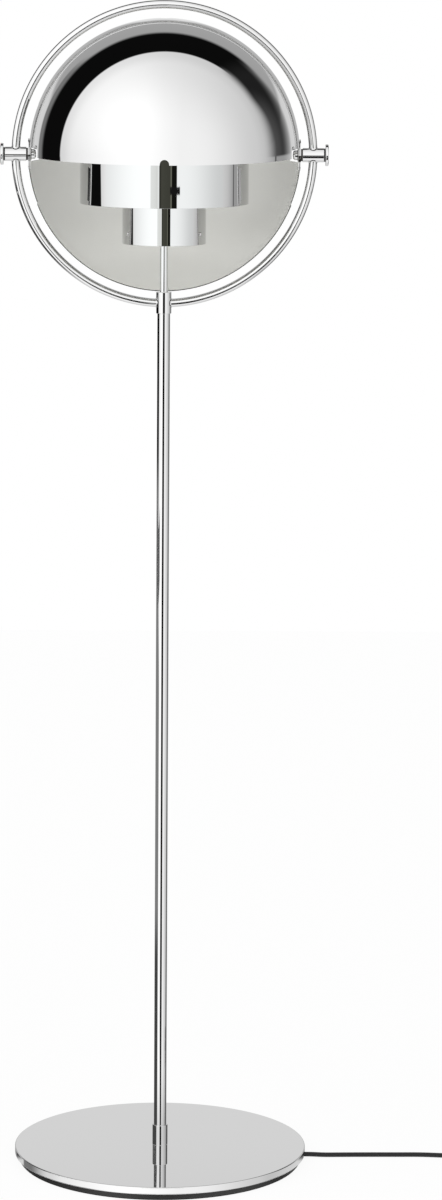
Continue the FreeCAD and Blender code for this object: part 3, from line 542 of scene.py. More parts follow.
def brazed_fillet(centre, across, outward, host_radius, tube_radius, ring_radius, size=1.5 * MM):
    """Hollow fillet of solder where a ring tube enters a round host at right angles.

    Its section is a quarter circle that is hollow outwards: at turn t the radius round the tube is
    tube + size (1 - sin t) and the height over the host is size (1 - cos t). The host's own height at the side
    distance y is the root of its radius squared less y squared, and the tube's bend takes h squared over twice the
    ring's radius off the side away from the ring's middle.
    """
    turn = np.linspace(0, math.pi / 2, 7)[:, None]
    around = (2 * np.pi * (np.arange(49) % 48) / 48)[None, :]
    radius = tube_radius + size * (1 - np.sin(turn))
    beside, sideways = radius * np.cos(around), radius * np.sin(around)
    height = np.sqrt(host_radius ** 2 - sideways ** 2) + size * (1 - np.cos(turn))
    across, outward, front = (np.array(way, float) for way in (across, outward, (0, 1, 0)))
    beside = beside - height ** 2 / (2 * ring_radius)
    places = (np.array(centre) + beside[..., None] * across + sideways[..., None] * front
              + height[..., None] * outward)
    round_it = np.cos(around)[..., None] * across + np.sin(around)[..., None] * front
    return places, np.sin(turn)[..., None] * round_it + np.cos(turn)[..., None] * outward


class LAMP_OT_ring(bpy.types.Operator):
    """Make the ring's three arcs and the collar that carries them"""

    bl_idname = "lamp.ring"
    bl_label = "Ring"

    def execute(self, context):
        sizes = context.scene.lamp_sizes
        at_sleeve, at_collar = 1.887, 2.065
        arcs = {"ring_upper_arc": (at_sleeve, 180 - at_sleeve),
                "ring_lower_right_arc": (270 + at_collar, 360 - at_sleeve),
                "ring_lower_left_arc": (180 + at_sleeve, 270 - at_collar)}
        sleeve_radius, collar_radius = high("right_pivot_sleeve", 1), high("ring_collar", 0)
        ring, tube = sizes.ring_radius, sizes.ring_tube_radius
        foot = (0, 0, PIVOT_HEIGHT - ring)
        ends = {node: [] for node in arcs}
        for side, lower in ((1, "ring_lower_right_arc"), (-1, "ring_lower_left_arc")):
            for node, up in (("ring_upper_arc", 1), (lower, -1)):
                ends[node].append(((side * ring, 0, PIVOT_HEIGHT), (side, 0, 0), (0, 0, up), sleeve_radius))
            ends[lower].append((foot, (0, 0, -1), (side, 0, 0), collar_radius))
        for node, (start, end) in arcs.items():
            patches = bent_tube(ring, tube, start, end, round((end - start) * 1.6))
            patches += [brazed_fillet(*place, tube, ring) for place in ends[node]]
            piece(node + "_chromed", patches, [use("chrome")], "stand", node)
        bottom, top = low("ring_collar"), high("ring_collar")
        outer, soft = high("ring_collar", 0), 0.5 * MM
        pole_bore, stem_bore, floor = sizes.pole_radius + 0.05 * MM, sizes.stem_radius + 0.05 * MM, high("pole")
        rows = outline([(pole_bore, bottom, 0.2 * MM), (outer, bottom, soft), (outer, top, soft),
                        (stem_bore, top, 0.2 * MM), (stem_bore, low("stem"), 0), (3.6 * MM, low("stem"), 0),
                        (3.6 * MM, floor, 0), (pole_bore, floor, 0)])
        piece("ring_collar_chromed", [turned(rows, 96)], [use("chrome")], "stand", "ring_collar")
        return {"FINISHED"}


# ---------------------------------------------------------------- pivots
class LAMP_OT_pivots(bpy.types.Operator):
    """Make the sleeves, spindles, washers and thumb knobs on both sides"""

    bl_idname = "lamp.pivots"
    bl_label = "Pivots"

    def execute(self, context):
        centre = (0.0, PIVOT_HEIGHT)
        x0, x1 = low("right_pivot_sleeve", 0), high("right_pivot_sleeve", 0)
        outer = high("right_pivot_sleeve", 1)
        knob0, knob1, knob_radius = low("right_knob", 0), high("right_knob", 0), high("right_knob", 1)
        head0 = low("right_pivot_spindle", 0)
        soft, tiny = 0.5 * MM, 0.15 * MM
        seat = knob0 - 0.3 * MM
        sleeve = outline([(3.55 * MM, x0, tiny), (3.55 * MM, seat, 0), (4.48 * MM, seat, 0), (4.48 * MM, x1, tiny),
                          (outer, x1, soft), (outer, x0, soft)][::-1])
        cap0, shoulder = knob1 - 4.0 * MM, 8.3 * MM
        cap = outline([(shoulder, cap0, 0), (knob_radius, cap0, 1.2 * MM), (knob_radius, knob1, 1.2 * MM),
                       (0, knob1, 0)], closed=False, steps=5)
        hub = outline([(0, knob0 + 8.3 * MM, 0), (2.58 * MM, knob0 + 8.3 * MM, 0), (2.58 * MM, knob0, 0),
                       (4.4 * MM, knob0, 0.3 * MM), (4.4 * MM, x1 + 0.3 * MM, 0), (shoulder, x1 + 0.3 * MM, 0),
                       (shoulder, cap0, 0)], closed=False)
        head1 = head0 + 6.0 * MM
        spindle = outline([(0, head0, 0), (6.0 * MM, head0, 3.0 * MM), (6.0 * MM, head1, 0.4 * MM),
                           (3.5 * MM, head1, 0.0), (3.5 * MM, seat, 0.3 * MM), (2.5 * MM, seat, 0),
                           (2.5 * MM, seat + 8.3 * MM, 0.3 * MM), (0, seat + 8.3 * MM, 0)], closed=False, steps=6)
        turns = {"pivot_sleeve": [(*turned(sleeve, 96, centre, "X"), 0)],
                 "pivot_spindle": [(*turned(spindle, 64, centre, "X"), 0)],
                 "knob": [(*turned(cap, 128, centre, "X"), 0), (*turned(hub, 128, centre, "X"), 1)]}
        for name, patches in turns.items():
            for side, made in (("right", patches), ("left", [mirrored(patch) for patch in patches])):
                node = side + "_" + name
                moves = name == "knob"
                finishes = [use("chrome"), use("plastic")] if moves else [use("chrome")]
                piece(node + "_chromed", made, finishes, node if moves else "stand", node)
        paint_nodes(use("fibre"), "right_pivot_washers", "left_pivot_washers")
        return {"FINISHED"}


# ---------------------------------------------------------------- shades
def even(*marks):
    """Values through the marks, each span (start, end, steps) divided evenly."""
    runs = [np.linspace(start, end, steps + 1)[:-1] for start, end, steps in marks]
    return np.concatenate(runs + [np.array([marks[-1][1]])])


def on_sphere(radius, x, angle, first=-math.inf):
    """Place and normal of a sphere's point at side distance x, turned by an angle from the front over the top.

    The spinner's last pass leaves the metal straight for 2.6 degrees next to the rim at the angle `first`, so there
    the normal stays as it is at 2.6 degrees. Without a `first` no normal is held.
    """
    ring = np.sqrt(np.maximum(radius ** 2 - x ** 2, 0))
    x, angle, ring = np.broadcast_arrays(x, angle, ring)
    place = np.stack([x, -ring * np.cos(angle), ring * np.sin(angle)], -1)
    held = np.maximum(angle, first + STRAIGHT_RIM)
    normal = np.stack([x, -ring * np.cos(held), ring * np.sin(held)], -1) / radius
    return np.array([0.0, 0.0, PIVOT_HEIGHT]) + place, normal


def shade_skin(radius, inner_ear, first, last):
    """One side of a shade: a quarter of a sphere between two half planes, with a round ear at each end.

    A point is given by its side distance x and by its angle. Next to each rim the angle comes from the distance w
    to the rim's plane, as the rim's angle plus arcsin(w / ring radius at x). The strips beside the rims stop short
    of the ears, and dip round the notch for the stem: w starts at the notch's inset plus its circle's height.
    """
    ear = math.sqrt(radius ** 2 - EAR_RADIUS ** 2)
    side = inner_ear - RELIEF_WIDTH
    bend = math.asin(side / radius)
    arc = radius * np.sin(even((-bend, -0.06, 44), (-0.06, -(NOTCH_RADIUS + 0.1 * MM) / radius, 3)))
    notch = NOTCH_RADIUS * np.sin(np.radians(np.linspace(-90, 90, 25)))
    across = np.concatenate([arc, notch, -arc[::-1]])
    end_bend = math.asin(ear / radius)
    ends = radius * np.sin(np.linspace(bend, end_bend, EAR_COLUMNS))
    whole = np.concatenate([-ends[::-1][:-1], across, ends[1:]])

    def rim_angle(x, width):
        ring = np.sqrt(radius ** 2 - x ** 2)
        return np.arcsin(np.minimum(width / ring, 1.0))

    share = np.linspace(0, 1, 73)[:, None]
    gap = rim_angle(whole, RELIEF_DEPTH)[None, :]
    middle = on_sphere(radius, whole[None, :], first + gap + (last - first - 2 * gap) * share)
    in_notch = np.abs(across) < NOTCH_RADIUS * 1.0001
    dip = in_notch * (NOTCH_INSET + np.sqrt(np.maximum(NOTCH_RADIUS ** 2 - across ** 2, 0)))
    width = dip[None, :] + (RELIEF_DEPTH - dip[None, :]) * np.linspace(0, 1, 7)[:, None]
    inward = rim_angle(across[None, :], width)
    strips = [on_sphere(radius, across[None, :], first + inward, first),
              on_sphere(radius, across[None, :], last - inward)]
    end_gap = math.asin(RELIEF_DEPTH / EAR_RADIUS)
    held = first + end_gap + (last - first - 2 * end_gap) * share[:, 0]
    free = np.linspace(held[-1], held[0] + 2 * math.pi, 97)
    round_ear = np.concatenate([held, free[1:]])
    return {"middle": middle, "strips": strips, "ear": ear, "round_ear": round_ear, "held": len(held)}


def shade_patches(radius, first_degrees, wall):
    """A shade as two skins, joined along its rims, its notches, the reliefs beside its ears, and round the ears."""
    first, last = math.radians(first_degrees), math.radians(first_degrees + 90)
    inner_radius = radius - wall
    inner_ear = math.sqrt(inner_radius ** 2 - EAR_RADIUS ** 2)
    outer = shade_skin(radius, inner_ear, first, last)
    inner = shade_skin(inner_radius, inner_ear, first, last)
    centre = np.array([0.0, 0.0, PIVOT_HEIGHT])
    patches = [(*outer["middle"], 0), (inner["middle"][0], -inner["middle"][1], 1)]
    for near, far in zip(outer["strips"], inner["strips"]):
        patches += [(*near, 0), (far[0], -far[1], 1)]
        hint = near[0][:1] - near[0][1:2]
        edge = np.concatenate([near[0][:1], far[0][:1]])
        patches.append((edge, np.repeat(hint, 2, axis=0), 0, True))
        for column, sign in ((0, -1.0), (-1, 1.0)):
            wall_edge = np.stack([near[0][:, column], far[0][:, column]])
            hint = np.broadcast_to(np.array([sign, 0.0, 0.0]), wall_edge.shape)
            patches.append((wall_edge, hint, 0, True))
    for row, step in ((0, 1), (-1, -2)):
        near, far = outer["middle"][0], inner["middle"][0]
        hint = near[row] - near[step]
        for part in (slice(0, EAR_COLUMNS), slice(-EAR_COLUMNS, None)):
            edge = np.stack([near[row, part], far[row, part]])
            patches.append((edge, np.repeat(hint[None, part], 2, axis=0), 0, True))
    for sign in (-1.0, 1.0):
        angle = outer["round_ear"]
        rim = np.stack([np.zeros_like(angle), -np.cos(angle), np.sin(angle)], -1)
        side = np.array([sign, 0.0, 0.0])
        radii = np.array([EAR_HOLE, EAR_RADIUS])[:, None, None]
        for skin, way, number in ((outer, side, 0), (inner, -side, 1)):
            disc = centre + side * skin["ear"] + radii * rim[None]
            patches.append((disc, np.broadcast_to(way, disc.shape).copy(), number))
        ends = centre + np.array([outer["ear"], inner["ear"]])[:, None, None] * side
        free = slice(outer["held"] - 1, None)
        patches.append((ends + EAR_RADIUS * rim[None, free], np.repeat(rim[None, free], 2, axis=0), 0))
        patches.append((ends + EAR_HOLE * rim[None], -np.repeat(rim[None], 2, axis=0), 0))
    return patches


class LAMP_OT_shades(bpy.types.Operator):
    """Make the two quarter-sphere shades, chromed outside and painted inside"""

    bl_idname = "lamp.shades"
    bl_label = "Shades"

    def execute(self, context):
        wall = context.scene.lamp_sizes.shade_wall
        outer_radius = PIVOT_HEIGHT - low("lower_shade")
        inner_radius = outer_radius - SHADE_STEP
        for node, radius, first in (("upper_shade", inner_radius, -1.4), ("lower_shade", outer_radius, 180.0)):
            piece(node + "_spun", shade_patches(radius, first, wall), [use("chrome"), use("paint")], node, node)
        return {"FINISHED"}


# ---------------------------------------------------------------- stem and cylinders
class LAMP_OT_stem(bpy.types.Operator):
    """Make the stem and finish its nuts and spider"""

    bl_idname = "lamp.stem"
    bl_label = "Stem"

    def execute(self, context):
        sizes = context.scene.lamp_sizes
        rows = tube_wall(sizes.stem_radius, sizes.stem_radius - 1.4 * MM, low("stem"), high("stem"), 0.2 * MM)
        piece("stem_chromed", [turned(rows, 96)], [use("chrome")], "stand", "stem")
        paint_nodes(use("zinc"), "stem_nuts")
        paint_nodes(use("paint"), "spider", "cylinder_brackets")
        return {"FINISHED"}


def radial_screw(azimuth, surface, proud, height):
    """Screw with a domed head that points away from the pole's axis, as a surface of revolution round its own."""
    head, shank, tip = 2.4 * MM, 1.5 * MM, surface + 0.5 * proud - 7.0 * MM
    rows = outline([(0, tip, 0), (shank, tip, 0.3 * MM), (shank, surface, 0), (head, surface + 0.05 * MM, 0.2 * MM),
                    (head, surface + proud, 1.0 * MM), (0, surface + proud, 0)], closed=False, steps=6)
    points, normals = turned(rows, 32, (0.0, height), "X")
    cos, sin = math.cos(math.radians(azimuth)), math.sin(math.radians(azimuth))
    spin = np.array([[cos, -sin, 0], [sin, cos, 0], [0, 0, 1]])
    return points @ spin.T, normals @ spin.T


class LAMP_OT_cylinders(bpy.types.Operator):
    """Make the two open cylinders and the three screws"""

    bl_idname = "lamp.cylinders"
    bl_label = "Cylinders"

    def execute(self, context):
        wall = context.scene.lamp_sizes.cylinder_wall
        soft = 0.25 * MM
        for node in ("small_cylinder", "large_cylinder"):
            outer, bottom, top = high(node, 0), low(node), high(node)
            inner = outer - wall
            outside = outline([((outer + inner) / 2, bottom, 0), (outer, bottom, soft), (outer, top, soft),
                               ((outer + inner) / 2, top, 0)], closed=False)
            inside = outline([((outer + inner) / 2, top, 0), (inner, top, soft), (inner, bottom, soft),
                              ((outer + inner) / 2, bottom, 0)], closed=False)
            patches = [(*turned(outside, 256), 0), (*turned(inside, 256), 1)]
            piece(node + "_chromed", patches, [use("chrome"), use("paint")], "stand", node)
        surface = high("small_cylinder", 0)
        patches = [radial_screw(azimuth, surface, 1.4 * MM, SCREW_HEIGHT) for azimuth in (-150, -30, 90)]
        piece("spider_screws_domed", patches, [use("chrome")], "stand", "spider_screws")
        return {"FINISHED"}


# ---------------------------------------------------------------- holder and bulb
class LAMP_OT_holder(bpy.types.Operator):
    """Make the lamp holder and the frosted bulb"""

    bl_idname = "lamp.holder"
    bl_label = "Holder and bulb"

    def execute(self, context):
        centre = high("bulb_glass") - BULB_RADIUS
        neck, bottom, globe = 14.0 * MM, low("bulb_glass"), BULB_RADIUS
        drop = bottom - centre
        turn = math.atan2(drop, neck) + math.acos(globe / math.hypot(drop, neck))
        angle = np.linspace(turn, math.pi / 2, 41)
        cone = np.array([[neck, bottom, math.cos(turn), math.sin(turn)]])
        sphere = np.stack([globe * np.cos(angle), centre + globe * np.sin(angle), np.cos(angle), np.sin(angle)], -1)
        sphere[-1, 0] = 0.0
        foot = np.array([[0, bottom, 0, -1], [neck, bottom, 0, -1]])
        piece("bulb_glass_frosted", [turned(np.vstack([foot, cone, sphere]), 96)], [use("glass")], "stand",
              "bulb_glass")
        paint_nodes(use("gloss_plastic"), "holder_cap", "holder_shell")
        paint_nodes(use("ceramic"), "holder_insulator")
        paint_nodes(use("brass"), "holder_thread", "holder_contact")
        paint_nodes(use("aluminium"), "bulb_cap")
        return {"FINISHED"}


# ---------------------------------------------------------------- cord
CORD_POINTS = np.array([
    (0.1860, 0.0000, 0.0051),
    (0.1960, 0.0000, 0.0051),
    (0.2120, 0.0019, 0.0037),
    (0.2360, 0.0049, 0.0031),
    (0.2720, 0.0058, 0.0031),
    (0.3080, 0.0063, 0.0031),
    (0.3380, 0.0069, 0.0031),
    (0.3560, 0.0048, 0.0031),
    (0.3720, -0.0010, 0.0043),
    (0.3880, -0.0066, 0.0066),
    (0.4020, -0.0080, 0.0070),
    (0.4120, -0.0080, 0.0070),
])
COIL_CENTRE = (0.5510, 0.0400)
COIL_RADIUS = 0.0470
COIL_PITCH = 0.0066
COIL_HEIGHT = 0.0040
COIL_LEAD = 0.0060
COIL_LAYER_ANGLE = 3 * 2 * math.pi
COIL_END_ANGLE = 2 * COIL_LAYER_ANGLE + math.pi
POINTS_IN_A_TURN = 16


def coil_places(angle, radius_factor=1.0):
    """Places on the coil after a turn of `angle` from its nearest point to the front.

    The radius falls by one pitch a turn over the lower layer, turns back over half a turn that also climbs to the
    upper layer on a smooth step, and grows by one pitch a turn there.
    """
    rate = COIL_PITCH / (2 * math.pi)
    climb = np.clip(angle - COIL_LAYER_ANGLE, 0, math.pi)
    out = np.maximum(angle - COIL_LAYER_ANGLE - math.pi, 0)
    inwards = np.minimum(angle, COIL_LAYER_ANGLE)
    radius = (COIL_RADIUS - rate * (inwards + climb - climb ** 2 / math.pi - out)) * radius_factor
    share = climb / math.pi
    height = COIL_HEIGHT + COIL_PITCH * share ** 2 * (3 - 2 * share)
    turn = angle - math.pi / 2
    return np.stack([COIL_CENTRE[0] + radius * np.cos(turn), COIL_CENTRE[1] + radius * np.sin(turn), height], -1)


def coil_ends():
    """The coil's first and last place, each with its way of travel."""
    step = 1e-4
    ends = []
    for angle in (0.0, COIL_END_ANGLE):
        before, here, after = coil_places(np.array([angle - step, angle, angle + step]))
        way = after - here if angle == 0.0 else here - before
        ends.append((here, way / np.linalg.norm(way)))
    return ends


def cord_curve(name, points, diameter, material):
    """Smooth cord: a quadratic NURBS spline that follows its points and starts and ends at the outer two."""
    curve = bpy.data.curves.new(name, "CURVE")
    curve.dimensions = "3D"
    curve.resolution_u = 8
    curve.bevel_depth = diameter / 2
    curve.bevel_resolution = 5
    curve.use_fill_caps = True
    spline = curve.splines.new("NURBS")
    spline.points.add(len(points) - 1)
    spline.points.foreach_set("co", np.column_stack([points, np.ones(len(points))]).ravel())
    spline.order_u = 3
    spline.use_endpoint_u = True
    curve.materials.append(material)
    return add_object(name, curve)


class LAMP_OT_cord(bpy.types.Operator):
    """Lay the woven cord on the floor, with its foot switch, coil and plug"""

    bl_idname = "lamp.cord"
    bl_label = "Cord"

    def execute(self, context):
        colours = context.scene.lamp_colours
        diameter = context.scene.lamp_sizes.cord_diameter
        floor_length, coiled_length = 0.2285, 1.577
        near = cord_curve("cord_on_floor", CORD_POINTS, diameter,
                          woven_finish("Woven sleeve on the floor", colours, floor_length))
        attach(near, "stand")
        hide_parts("mains_cord")
        (start, start_way), (end, end_way) = coil_ends()
        steps = round(COIL_END_ANGLE / (2 * math.pi) * POINTS_IN_A_TURN)
        shrink = (6 + 2 * math.cos(2 * math.pi / POINTS_IN_A_TURN)) / 8
        turns = coil_places(np.linspace(0, COIL_END_ANGLE, steps + 1), 1 / shrink)
        entry, leave = start - start_way * COIL_LEAD, end + end_way * COIL_LEAD
        plug_y = leave[1] + 0.0006
        points = np.vstack([
            (0.5040, -0.0080, 0.0070), (0.5130, -0.0080, 0.0070), (0.5245, -0.0083, 0.0054),
            entry - start_way * 0.009, entry, turns[1:-1], leave, leave + end_way * 0.008,
            (0.5245, 0.0876, 0.0093), (0.5135, plug_y, 0.0070), (0.5050, plug_y, 0.0070)])
        far = cord_curve("cord_coiled", points, diameter,
                         woven_finish("Woven sleeve in the coil", colours, coiled_length))
        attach(far, "stand")
        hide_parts("switch_cord", "cord_coil", "plug_cord")
        paint_nodes(near.data.materials[0], "inner_flex")
        paint_nodes(use("plastic"), "cord_strain_relief", "foot_switch_reliefs", "foot_switch_base",
                    "foot_switch_cover", "coil_tie", "plug_relief", "plug_body")
        paint_nodes(use("gloss_plastic"), "foot_switch_button")
        paint_nodes(use("zinc"), "foot_switch_spring")
        paint_nodes(use("brass"), "plug_pins")
        return {"FINISHED"}


# ---------------------------------------------------------------- stage
CAMERA_DISTANCE = 5.090314
CAMERA_HEIGHT = 1.569886
CAMERA_PITCH = 9.371
CAMERA_ROLL = 0.262
CAMERA_LENS = 122.53
CAMERA_SHIFT = 0.0488
AHEAD_LIGHT = 1.45
MATT_LIGHT = 1.1
PAPER_SEEN_WHITE = 0.92
# The dark slit in front, as azimuth in degrees and brightness, on a ramp that spans 60 degrees.
SLIT_SPAN = 60
SLIT_TONES = ((-19.2, 1.0), (-18.0, 0.73), (-12.5, 0.7), (-9.4, 0.66), (-8.2, 0.82), (-7.3, 0.82), (-6.5, 0.03),
              (-5.2, 0.03), (-3.8, 0.056), (8.0, 0.05), (8.6, 0.15), (9.8, 0.15), (10.3, 0.008), (16.7, 0.008),
              (17.3, 1.0), (24.0, 1.0))


def smooth_step(tree, value, start, end):
    """0 before start, 1 after end and a smooth rise between them."""
    inputs = {0: value, 1: start, 2: end}
    return add(tree, "ShaderNodeMapRange", inputs, interpolation_type="SMOOTHSTEP").outputs[0]


def mixed(tree, factor, first, second):
    """First value where the factor is 0 and second where it is 1."""
    return add(tree, "ShaderNodeMix", {0: factor, 2: first, 3: second}).outputs[0]


def camera_share(tree):
    """1 for rays straight from the camera or through clear material, with the other outputs of the light path."""
    path = add(tree, "ShaderNodeLightPath").outputs
    return math_node(tree, "MAXIMUM", path["Is Camera Ray"], path["Is Transmission Ray"]), path


def studio_world(scene):
    """A white studio: even soft light, and for polished metal the soft boxes and dark flags round the lamp.

    Directions are told in degrees by the angle off the front, by the azimuth from the front to the right and by
    elevation, or by a part of the unit way: `across` is 1 to the right and `up` is 1 upwards. Dark flags stand all
    round just behind the lamp's sides. Metal also shows, in front and below eye level, a dark slit, lower down one
    black bar in its place, a small black patch on the right at one height, and a shade for the pole's foot. Matt
    pieces get the same boxes and flags at MATT_LIGHT times, without the slit. The camera sees plain white.
    """
    world = bpy.data.worlds.new("White studio")
    scene.world = world
    world.use_nodes = True
    tree = world.node_tree
    tree.nodes.clear()

    def sums(operation, *values):
        return math_node(tree, operation, *values)

    def mix(factor, first, second):
        return mixed(tree, factor, first, second)

    def step(value, start, end):
        return smooth_step(tree, value, start, end)

    def inverse(value):
        return sums("SUBTRACT", 1.0, value)

    def drop(value, start, end):
        return inverse(step(value, start, end))

    def product(*values):
        total = values[0]
        for value in values[1:]:
            total = sums("MULTIPLY", total, value)
        return total

    def band(value, start, full, fading, end):
        return product(step(value, start, full), drop(value, fading, end))

    def line(value, slope, start):
        return sums("MULTIPLY_ADD", value, slope, start)

    def dimmed(value, share, where):
        return product(value, line(where, -share, 1.0))

    way = add(tree, "ShaderNodeSeparateXYZ", {0: add(tree, "ShaderNodeTexCoord").outputs["Generated"]}).outputs
    across, up, front = way[0], way[2], product(way[1], -1.0)
    degrees = 180 / math.pi
    off = product(sums("ARCCOSINE", front), degrees)
    azimuth = product(sums("ARCTAN2", across, front), degrees)
    elevation = product(sums("ARCSINE", up), degrees)

    # Soft boxes, brightest ahead and to the upper left.
    upper_left = product(sums("MAXIMUM", product(across, -1.0), 0.0), sums("MAXIMUM", up, 0.0))
    lean = sums("MINIMUM", sums("MAXIMUM", product(across, 0.42), -0.1), 0.1)
    ahead_light = sums("SUBTRACT", AHEAD_LIGHT, lean)
    side_light = line(sums("MAXIMUM", across, 0.0), -0.25, 1.15)
    soft_box = mix(step(line(across, 8.0, off), 25.0, 98.0), ahead_light, side_light)
    soft_box = dimmed(line(upper_left, 0.4, soft_box), 0.12, step(off, 84.0, 97.0))

    # Behind the lamp: darker above, on the far left and on both sides of straight behind.
    rise = sums("DIVIDE", up, sums("MAXIMUM", way[1], 0.05))
    behind = mix(step(rise, 0.30, 0.42), 0.9, 0.5)
    behind = mix(product(step(across, -0.45, -0.6), drop(off, 134.0, 137.0)), behind, 0.25)
    sideways = sums("ABSOLUTE", across)
    behind = dimmed(behind, 0.38, product(step(sideways, 0.05, 0.1), step(off, 150.0, 156.0)))
    light = mix(step(off, 98.0, 124.0), soft_box, behind)

    # Left flag: it starts further forward the lower it is, and leaves out what the sleeves see below them.
    low_down, lower, lowest = drop(up, -0.09, -0.08), drop(up, -0.19, -0.15), drop(up, -0.25, -0.235)
    left_start = mix(low_down, mix(step(up, -0.08, -0.03), 95.0, 99.3), 84.0)
    left_start = mix(lower, left_start, 59.0)
    left_end = sums("SUBTRACT", off, line(low_down, 27.0, 125.0))
    underneath = product(drop(up, -0.4, -0.3), drop(sideways, 0.45, 0.7))
    left_flag = product(step(sums("SUBTRACT", off, left_start), -0.8, 0.8), drop(left_end, 0.0, 5.5),
                        inverse(underneath))
    left_value = mix(lowest, mix(drop(up, -0.14, -0.125), 0.005, 0.3), 0.08)

    # Right flag: wider and paler to the far right, with a thin dark line at the height of the pivots.
    full_dark = line(step(across, 0.82, 0.96), 8.0, 104.0)
    away = line(step(across, 0.6, 0.74), 14.0, 134.0)
    right_flag = band(off, 93.0, full_dark, 119.0, away)
    level = band(up, -0.1, -0.08, -0.04, -0.02)
    thin_line = band(off, 107.3, 108.2, 109.4, 110.3)
    right_value = mix(level, line(step(across, 0.75, 1.02), 0.11, 0.02), line(thin_line, -0.37, 0.45))

    # Both flags stop at the height that the base plate's rim reflects, and the light is dimmed just over it.
    on_right = step(across, 0.5, 0.68)
    above_rim = step(up, -0.2955, -0.2940)
    off_rim = sums("ADD", above_rim, drop(up, -0.306, -0.3045))
    flag = product(mix(on_right, left_flag, right_flag), off_rim)
    light = dimmed(light, 0.3, product(drop(up, -0.29, -0.272), above_rim))
    light = mix(flag, light, mix(on_right, left_value, right_value))

    # The slit in front, and the bar in its place lower down.
    slit = add(tree, "ShaderNodeValToRGB", {0: line(azimuth, 1 / SLIT_SPAN, 0.5)})
    slit.color_ramp.interpolation = "LINEAR"
    elements = slit.color_ramp.elements
    while len(elements) < len(SLIT_TONES):
        elements.new(0.5)
    for element, (place, _) in zip(elements, SLIT_TONES):
        element.position = place / SLIT_SPAN + 0.5
    for element, (_, value) in zip(elements, SLIT_TONES):
        element.color = (value * 0.98, value, value * (0.8 if value < 0.2 else 0.93 + 0.07 * value), 1.0)
    ahead = step(front, 0.0, 0.1)
    tall = product(above_rim, drop(elevation, -2.7, -1.9), ahead)
    upper_part = step(up, -0.288, -0.262)
    beside_bar = sums("ABSOLUTE", sums("SUBTRACT", azimuth, line(upper_part, -3.2, 5.2)))
    bar = line(step(sums("SUBTRACT", beside_bar, line(upper_part, 4.0, 12.8)), -1.0, 1.0), 0.994, 0.006)
    tall_colour = mixed_colour(tree, low_down, slit.outputs[0], bar)

    # The shade for the pole's foot, and the small black patch.
    wide = line(band(azimuth, -22.0, -18.0, 31.0, 35.0), -0.99, 1.0)
    foot_shade = mix(step(azimuth, -0.6, 0.0), 0.5, 0.02)
    foot_colour = mixed_colour(tree, band(azimuth, -3.2, -2.8, 3.0, 3.4), wide, foot_shade)
    near_front = drop(sums("ABSOLUTE", azimuth), 8.0, 24.0)
    foot_end = sums("SUBTRACT", elevation, line(near_front, -17.0, -33.0))
    foot = product(step(foot_end, -2.0, 2.0), drop(elevation, -18.7, -18.3), ahead)
    patch = product(band(azimuth, 7.6, 7.9, 21.1, 21.4), band(elevation, -3.715, -3.7, -3.605, -3.59), ahead)
    strip = WHITE
    for where, colour in ((tall, tall_colour), (foot, foot_colour), (patch, (0.01, 0.01, 0.01, 1.0))):
        strip = mixed_colour(tree, where, strip, colour)

    seen, path = camera_share(tree)
    plain, reflected, even_light = (
        add(tree, "ShaderNodeBackground", {0: colour, 1: strength}).outputs[0]
        for colour, strength in ((WHITE, 1.0), (strip, light), (WHITE, product(light, MATT_LIGHT))))
    shine = add(tree, "ShaderNodeMixShader", {0: path["Is Glossy Ray"], 1: even_light, 2: reflected}).outputs[0]
    whole = add(tree, "ShaderNodeMixShader", {0: seen, 1: shine, 2: plain}).outputs[0]
    tree.links.new(whole, add(tree, "ShaderNodeOutputWorld").inputs[0])


def floor_finish(colours):
    """Seamless white paper: the plain white of the backdrop, which keeps a faint shadow under the lamp."""
    made, tree, shader = finish("White seamless paper", Base_Color=colours.floor, Roughness=0.9)
    follow(tree, shader, spots(tree, 2.0), (colours.floor, 0.99))
    seen = math_node(tree, "MULTIPLY", camera_share(tree)[0], PAPER_SEEN_WHITE)
    bright = add(tree, "ShaderNodeEmission", {0: WHITE, 1: 1.0})
    both = add(tree, "ShaderNodeMixShader", {0: seen, 1: shader.outputs[0], 2: bright.outputs[0]})
    output = next(node for node in tree.nodes if node.type == "OUTPUT_MATERIAL")
    tree.links.new(both.outputs[0], output.inputs[0])
    return made


def upright_card(start, end, bottom, top):
    """Flat card that stands between two places on the floor plan."""
    edge = np.array([start, end])
    places = np.array([[(*edge[0], bottom), (*edge[0], top)], [(*edge[1], bottom), (*edge[1], top)]])
    way = np.array([edge[1, 1] - edge[0, 1], edge[0, 0] - edge[1, 0], 0.0])
    return places, np.broadcast_to(way / np.linalg.norm(way), places.shape).copy()


def card_finish(name, code):
    """Studio card: a dull flocked face of one tone with a fine nap, which only polished metal shows."""
    return spotted(name, (1.0,), (linear(code), 0.8), Roughness=1.0)


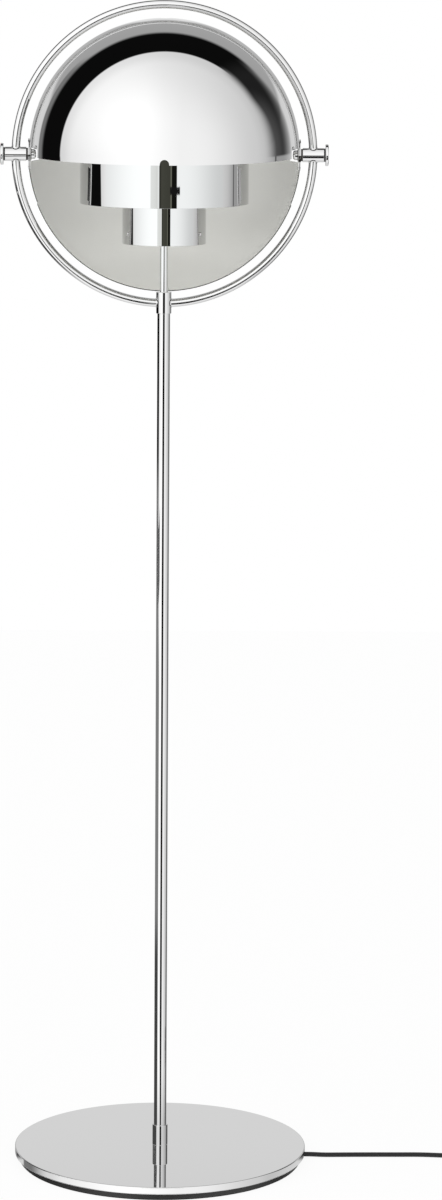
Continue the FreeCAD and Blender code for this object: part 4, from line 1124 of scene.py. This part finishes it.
class LAMP_OT_stage(bpy.types.Operator):
    """Set the floor, the studio light and the camera"""

    bl_idname = "lamp.stage"
    bl_label = "Stage"

    def execute(self, context):
        scene = context.scene
        half = 4.0
        span = np.linspace(-half, half, 9)
        grid = np.stack([*np.meshgrid(span, span, indexing="ij"), np.zeros((9, 9))], -1)
        floor = add_object("studio_floor", surface_mesh("studio_floor", [(grid, np.zeros_like(grid) + (0, 0, 1))]))
        floor.data.materials.append(floor_finish(scene.lamp_colours))
        floor.visible_glossy = False
        flags = (("front_flag", ((-0.25, -1.5), (0.46, -1.5), 0.47, 0.58), ("Black flock card", "#0C0C0C")),
                 ("side_flag", ((-1.5, -1.0), (-1.5, 1.5), 0.47, 0.60), ("Grey flock card", "#868686")))
        for name, place, tone in flags:
            card = add_object(name, surface_mesh(name, [upright_card(*place)]))
            card.data.materials.append(card_finish(*tone))
            for kind in ("camera", "diffuse", "transmission", "shadow", "volume_scatter"):
                setattr(card, "visible_" + kind, False)
        studio_world(scene)
        pitch, roll = math.radians(CAMERA_PITCH), math.radians(CAMERA_ROLL)
        forward = np.array([0, math.cos(pitch), -math.sin(pitch)])
        side = np.array([1.0, 0.0, 0.0])
        above = np.cross(side, forward)
        right = side * math.cos(roll) + above * math.sin(roll)
        upward = -side * math.sin(roll) + above * math.cos(roll)
        lens = bpy.data.cameras.new("camera")
        lens.lens = CAMERA_LENS
        lens.shift_x = CAMERA_SHIFT
        lens.clip_end = 100.0
        camera = add_object("camera", lens)
        axes = np.eye(4)
        axes[:3, 0], axes[:3, 1], axes[:3, 2] = right, upward, -forward
        axes[:3, 3] = (0.0, -CAMERA_DISTANCE, CAMERA_HEIGHT)
        camera.matrix_world = Matrix(axes.tolist())
        scene.camera = camera
        scene.view_settings.view_transform = "Standard"
        return {"FINISHED"}


class LAMP_PT_pieces(bpy.types.Panel):
    """Lists the lamp's pieces in the sidebar"""

    bl_idname = "LAMP_PT_pieces"
    bl_label = "Chrome floor lamp"
    bl_space_type = "VIEW_3D"
    bl_region_type = "UI"
    bl_category = "Lamp"

    def draw(self, context):
        for operator in OPERATORS:
            self.layout.operator(operator.bl_idname)
        for group in (context.scene.lamp_sizes, context.scene.lamp_colours):
            box = self.layout.box()
            for name in group.__annotations__:
                box.prop(group, name)


OPERATORS = (LAMP_OT_base, LAMP_OT_pole, LAMP_OT_ring, LAMP_OT_pivots, LAMP_OT_shades, LAMP_OT_stem,
             LAMP_OT_cylinders, LAMP_OT_holder, LAMP_OT_cord, LAMP_OT_stage)
CLASSES = (LampSizes, LampColours, *OPERATORS, LAMP_PT_pieces)


def register():
    """Adds the classes and the scene's two groups of settings."""
    for made in CLASSES:
        bpy.utils.register_class(made)
    bpy.types.Scene.lamp_sizes = bpy.props.PointerProperty(type=LampSizes)
    bpy.types.Scene.lamp_colours = bpy.props.PointerProperty(type=LampColours)


def unregister():
    """Takes them away again."""
    del bpy.types.Scene.lamp_colours
    del bpy.types.Scene.lamp_sizes
    for made in reversed(CLASSES):
        bpy.utils.unregister_class(made)


def main():
    """Builds every piece and the stage."""
    register()
    for operator in OPERATORS:
        group, name = operator.bl_idname.split(".")
        getattr(getattr(bpy.ops, group), name)()


if __name__ == "__main__":
    main()
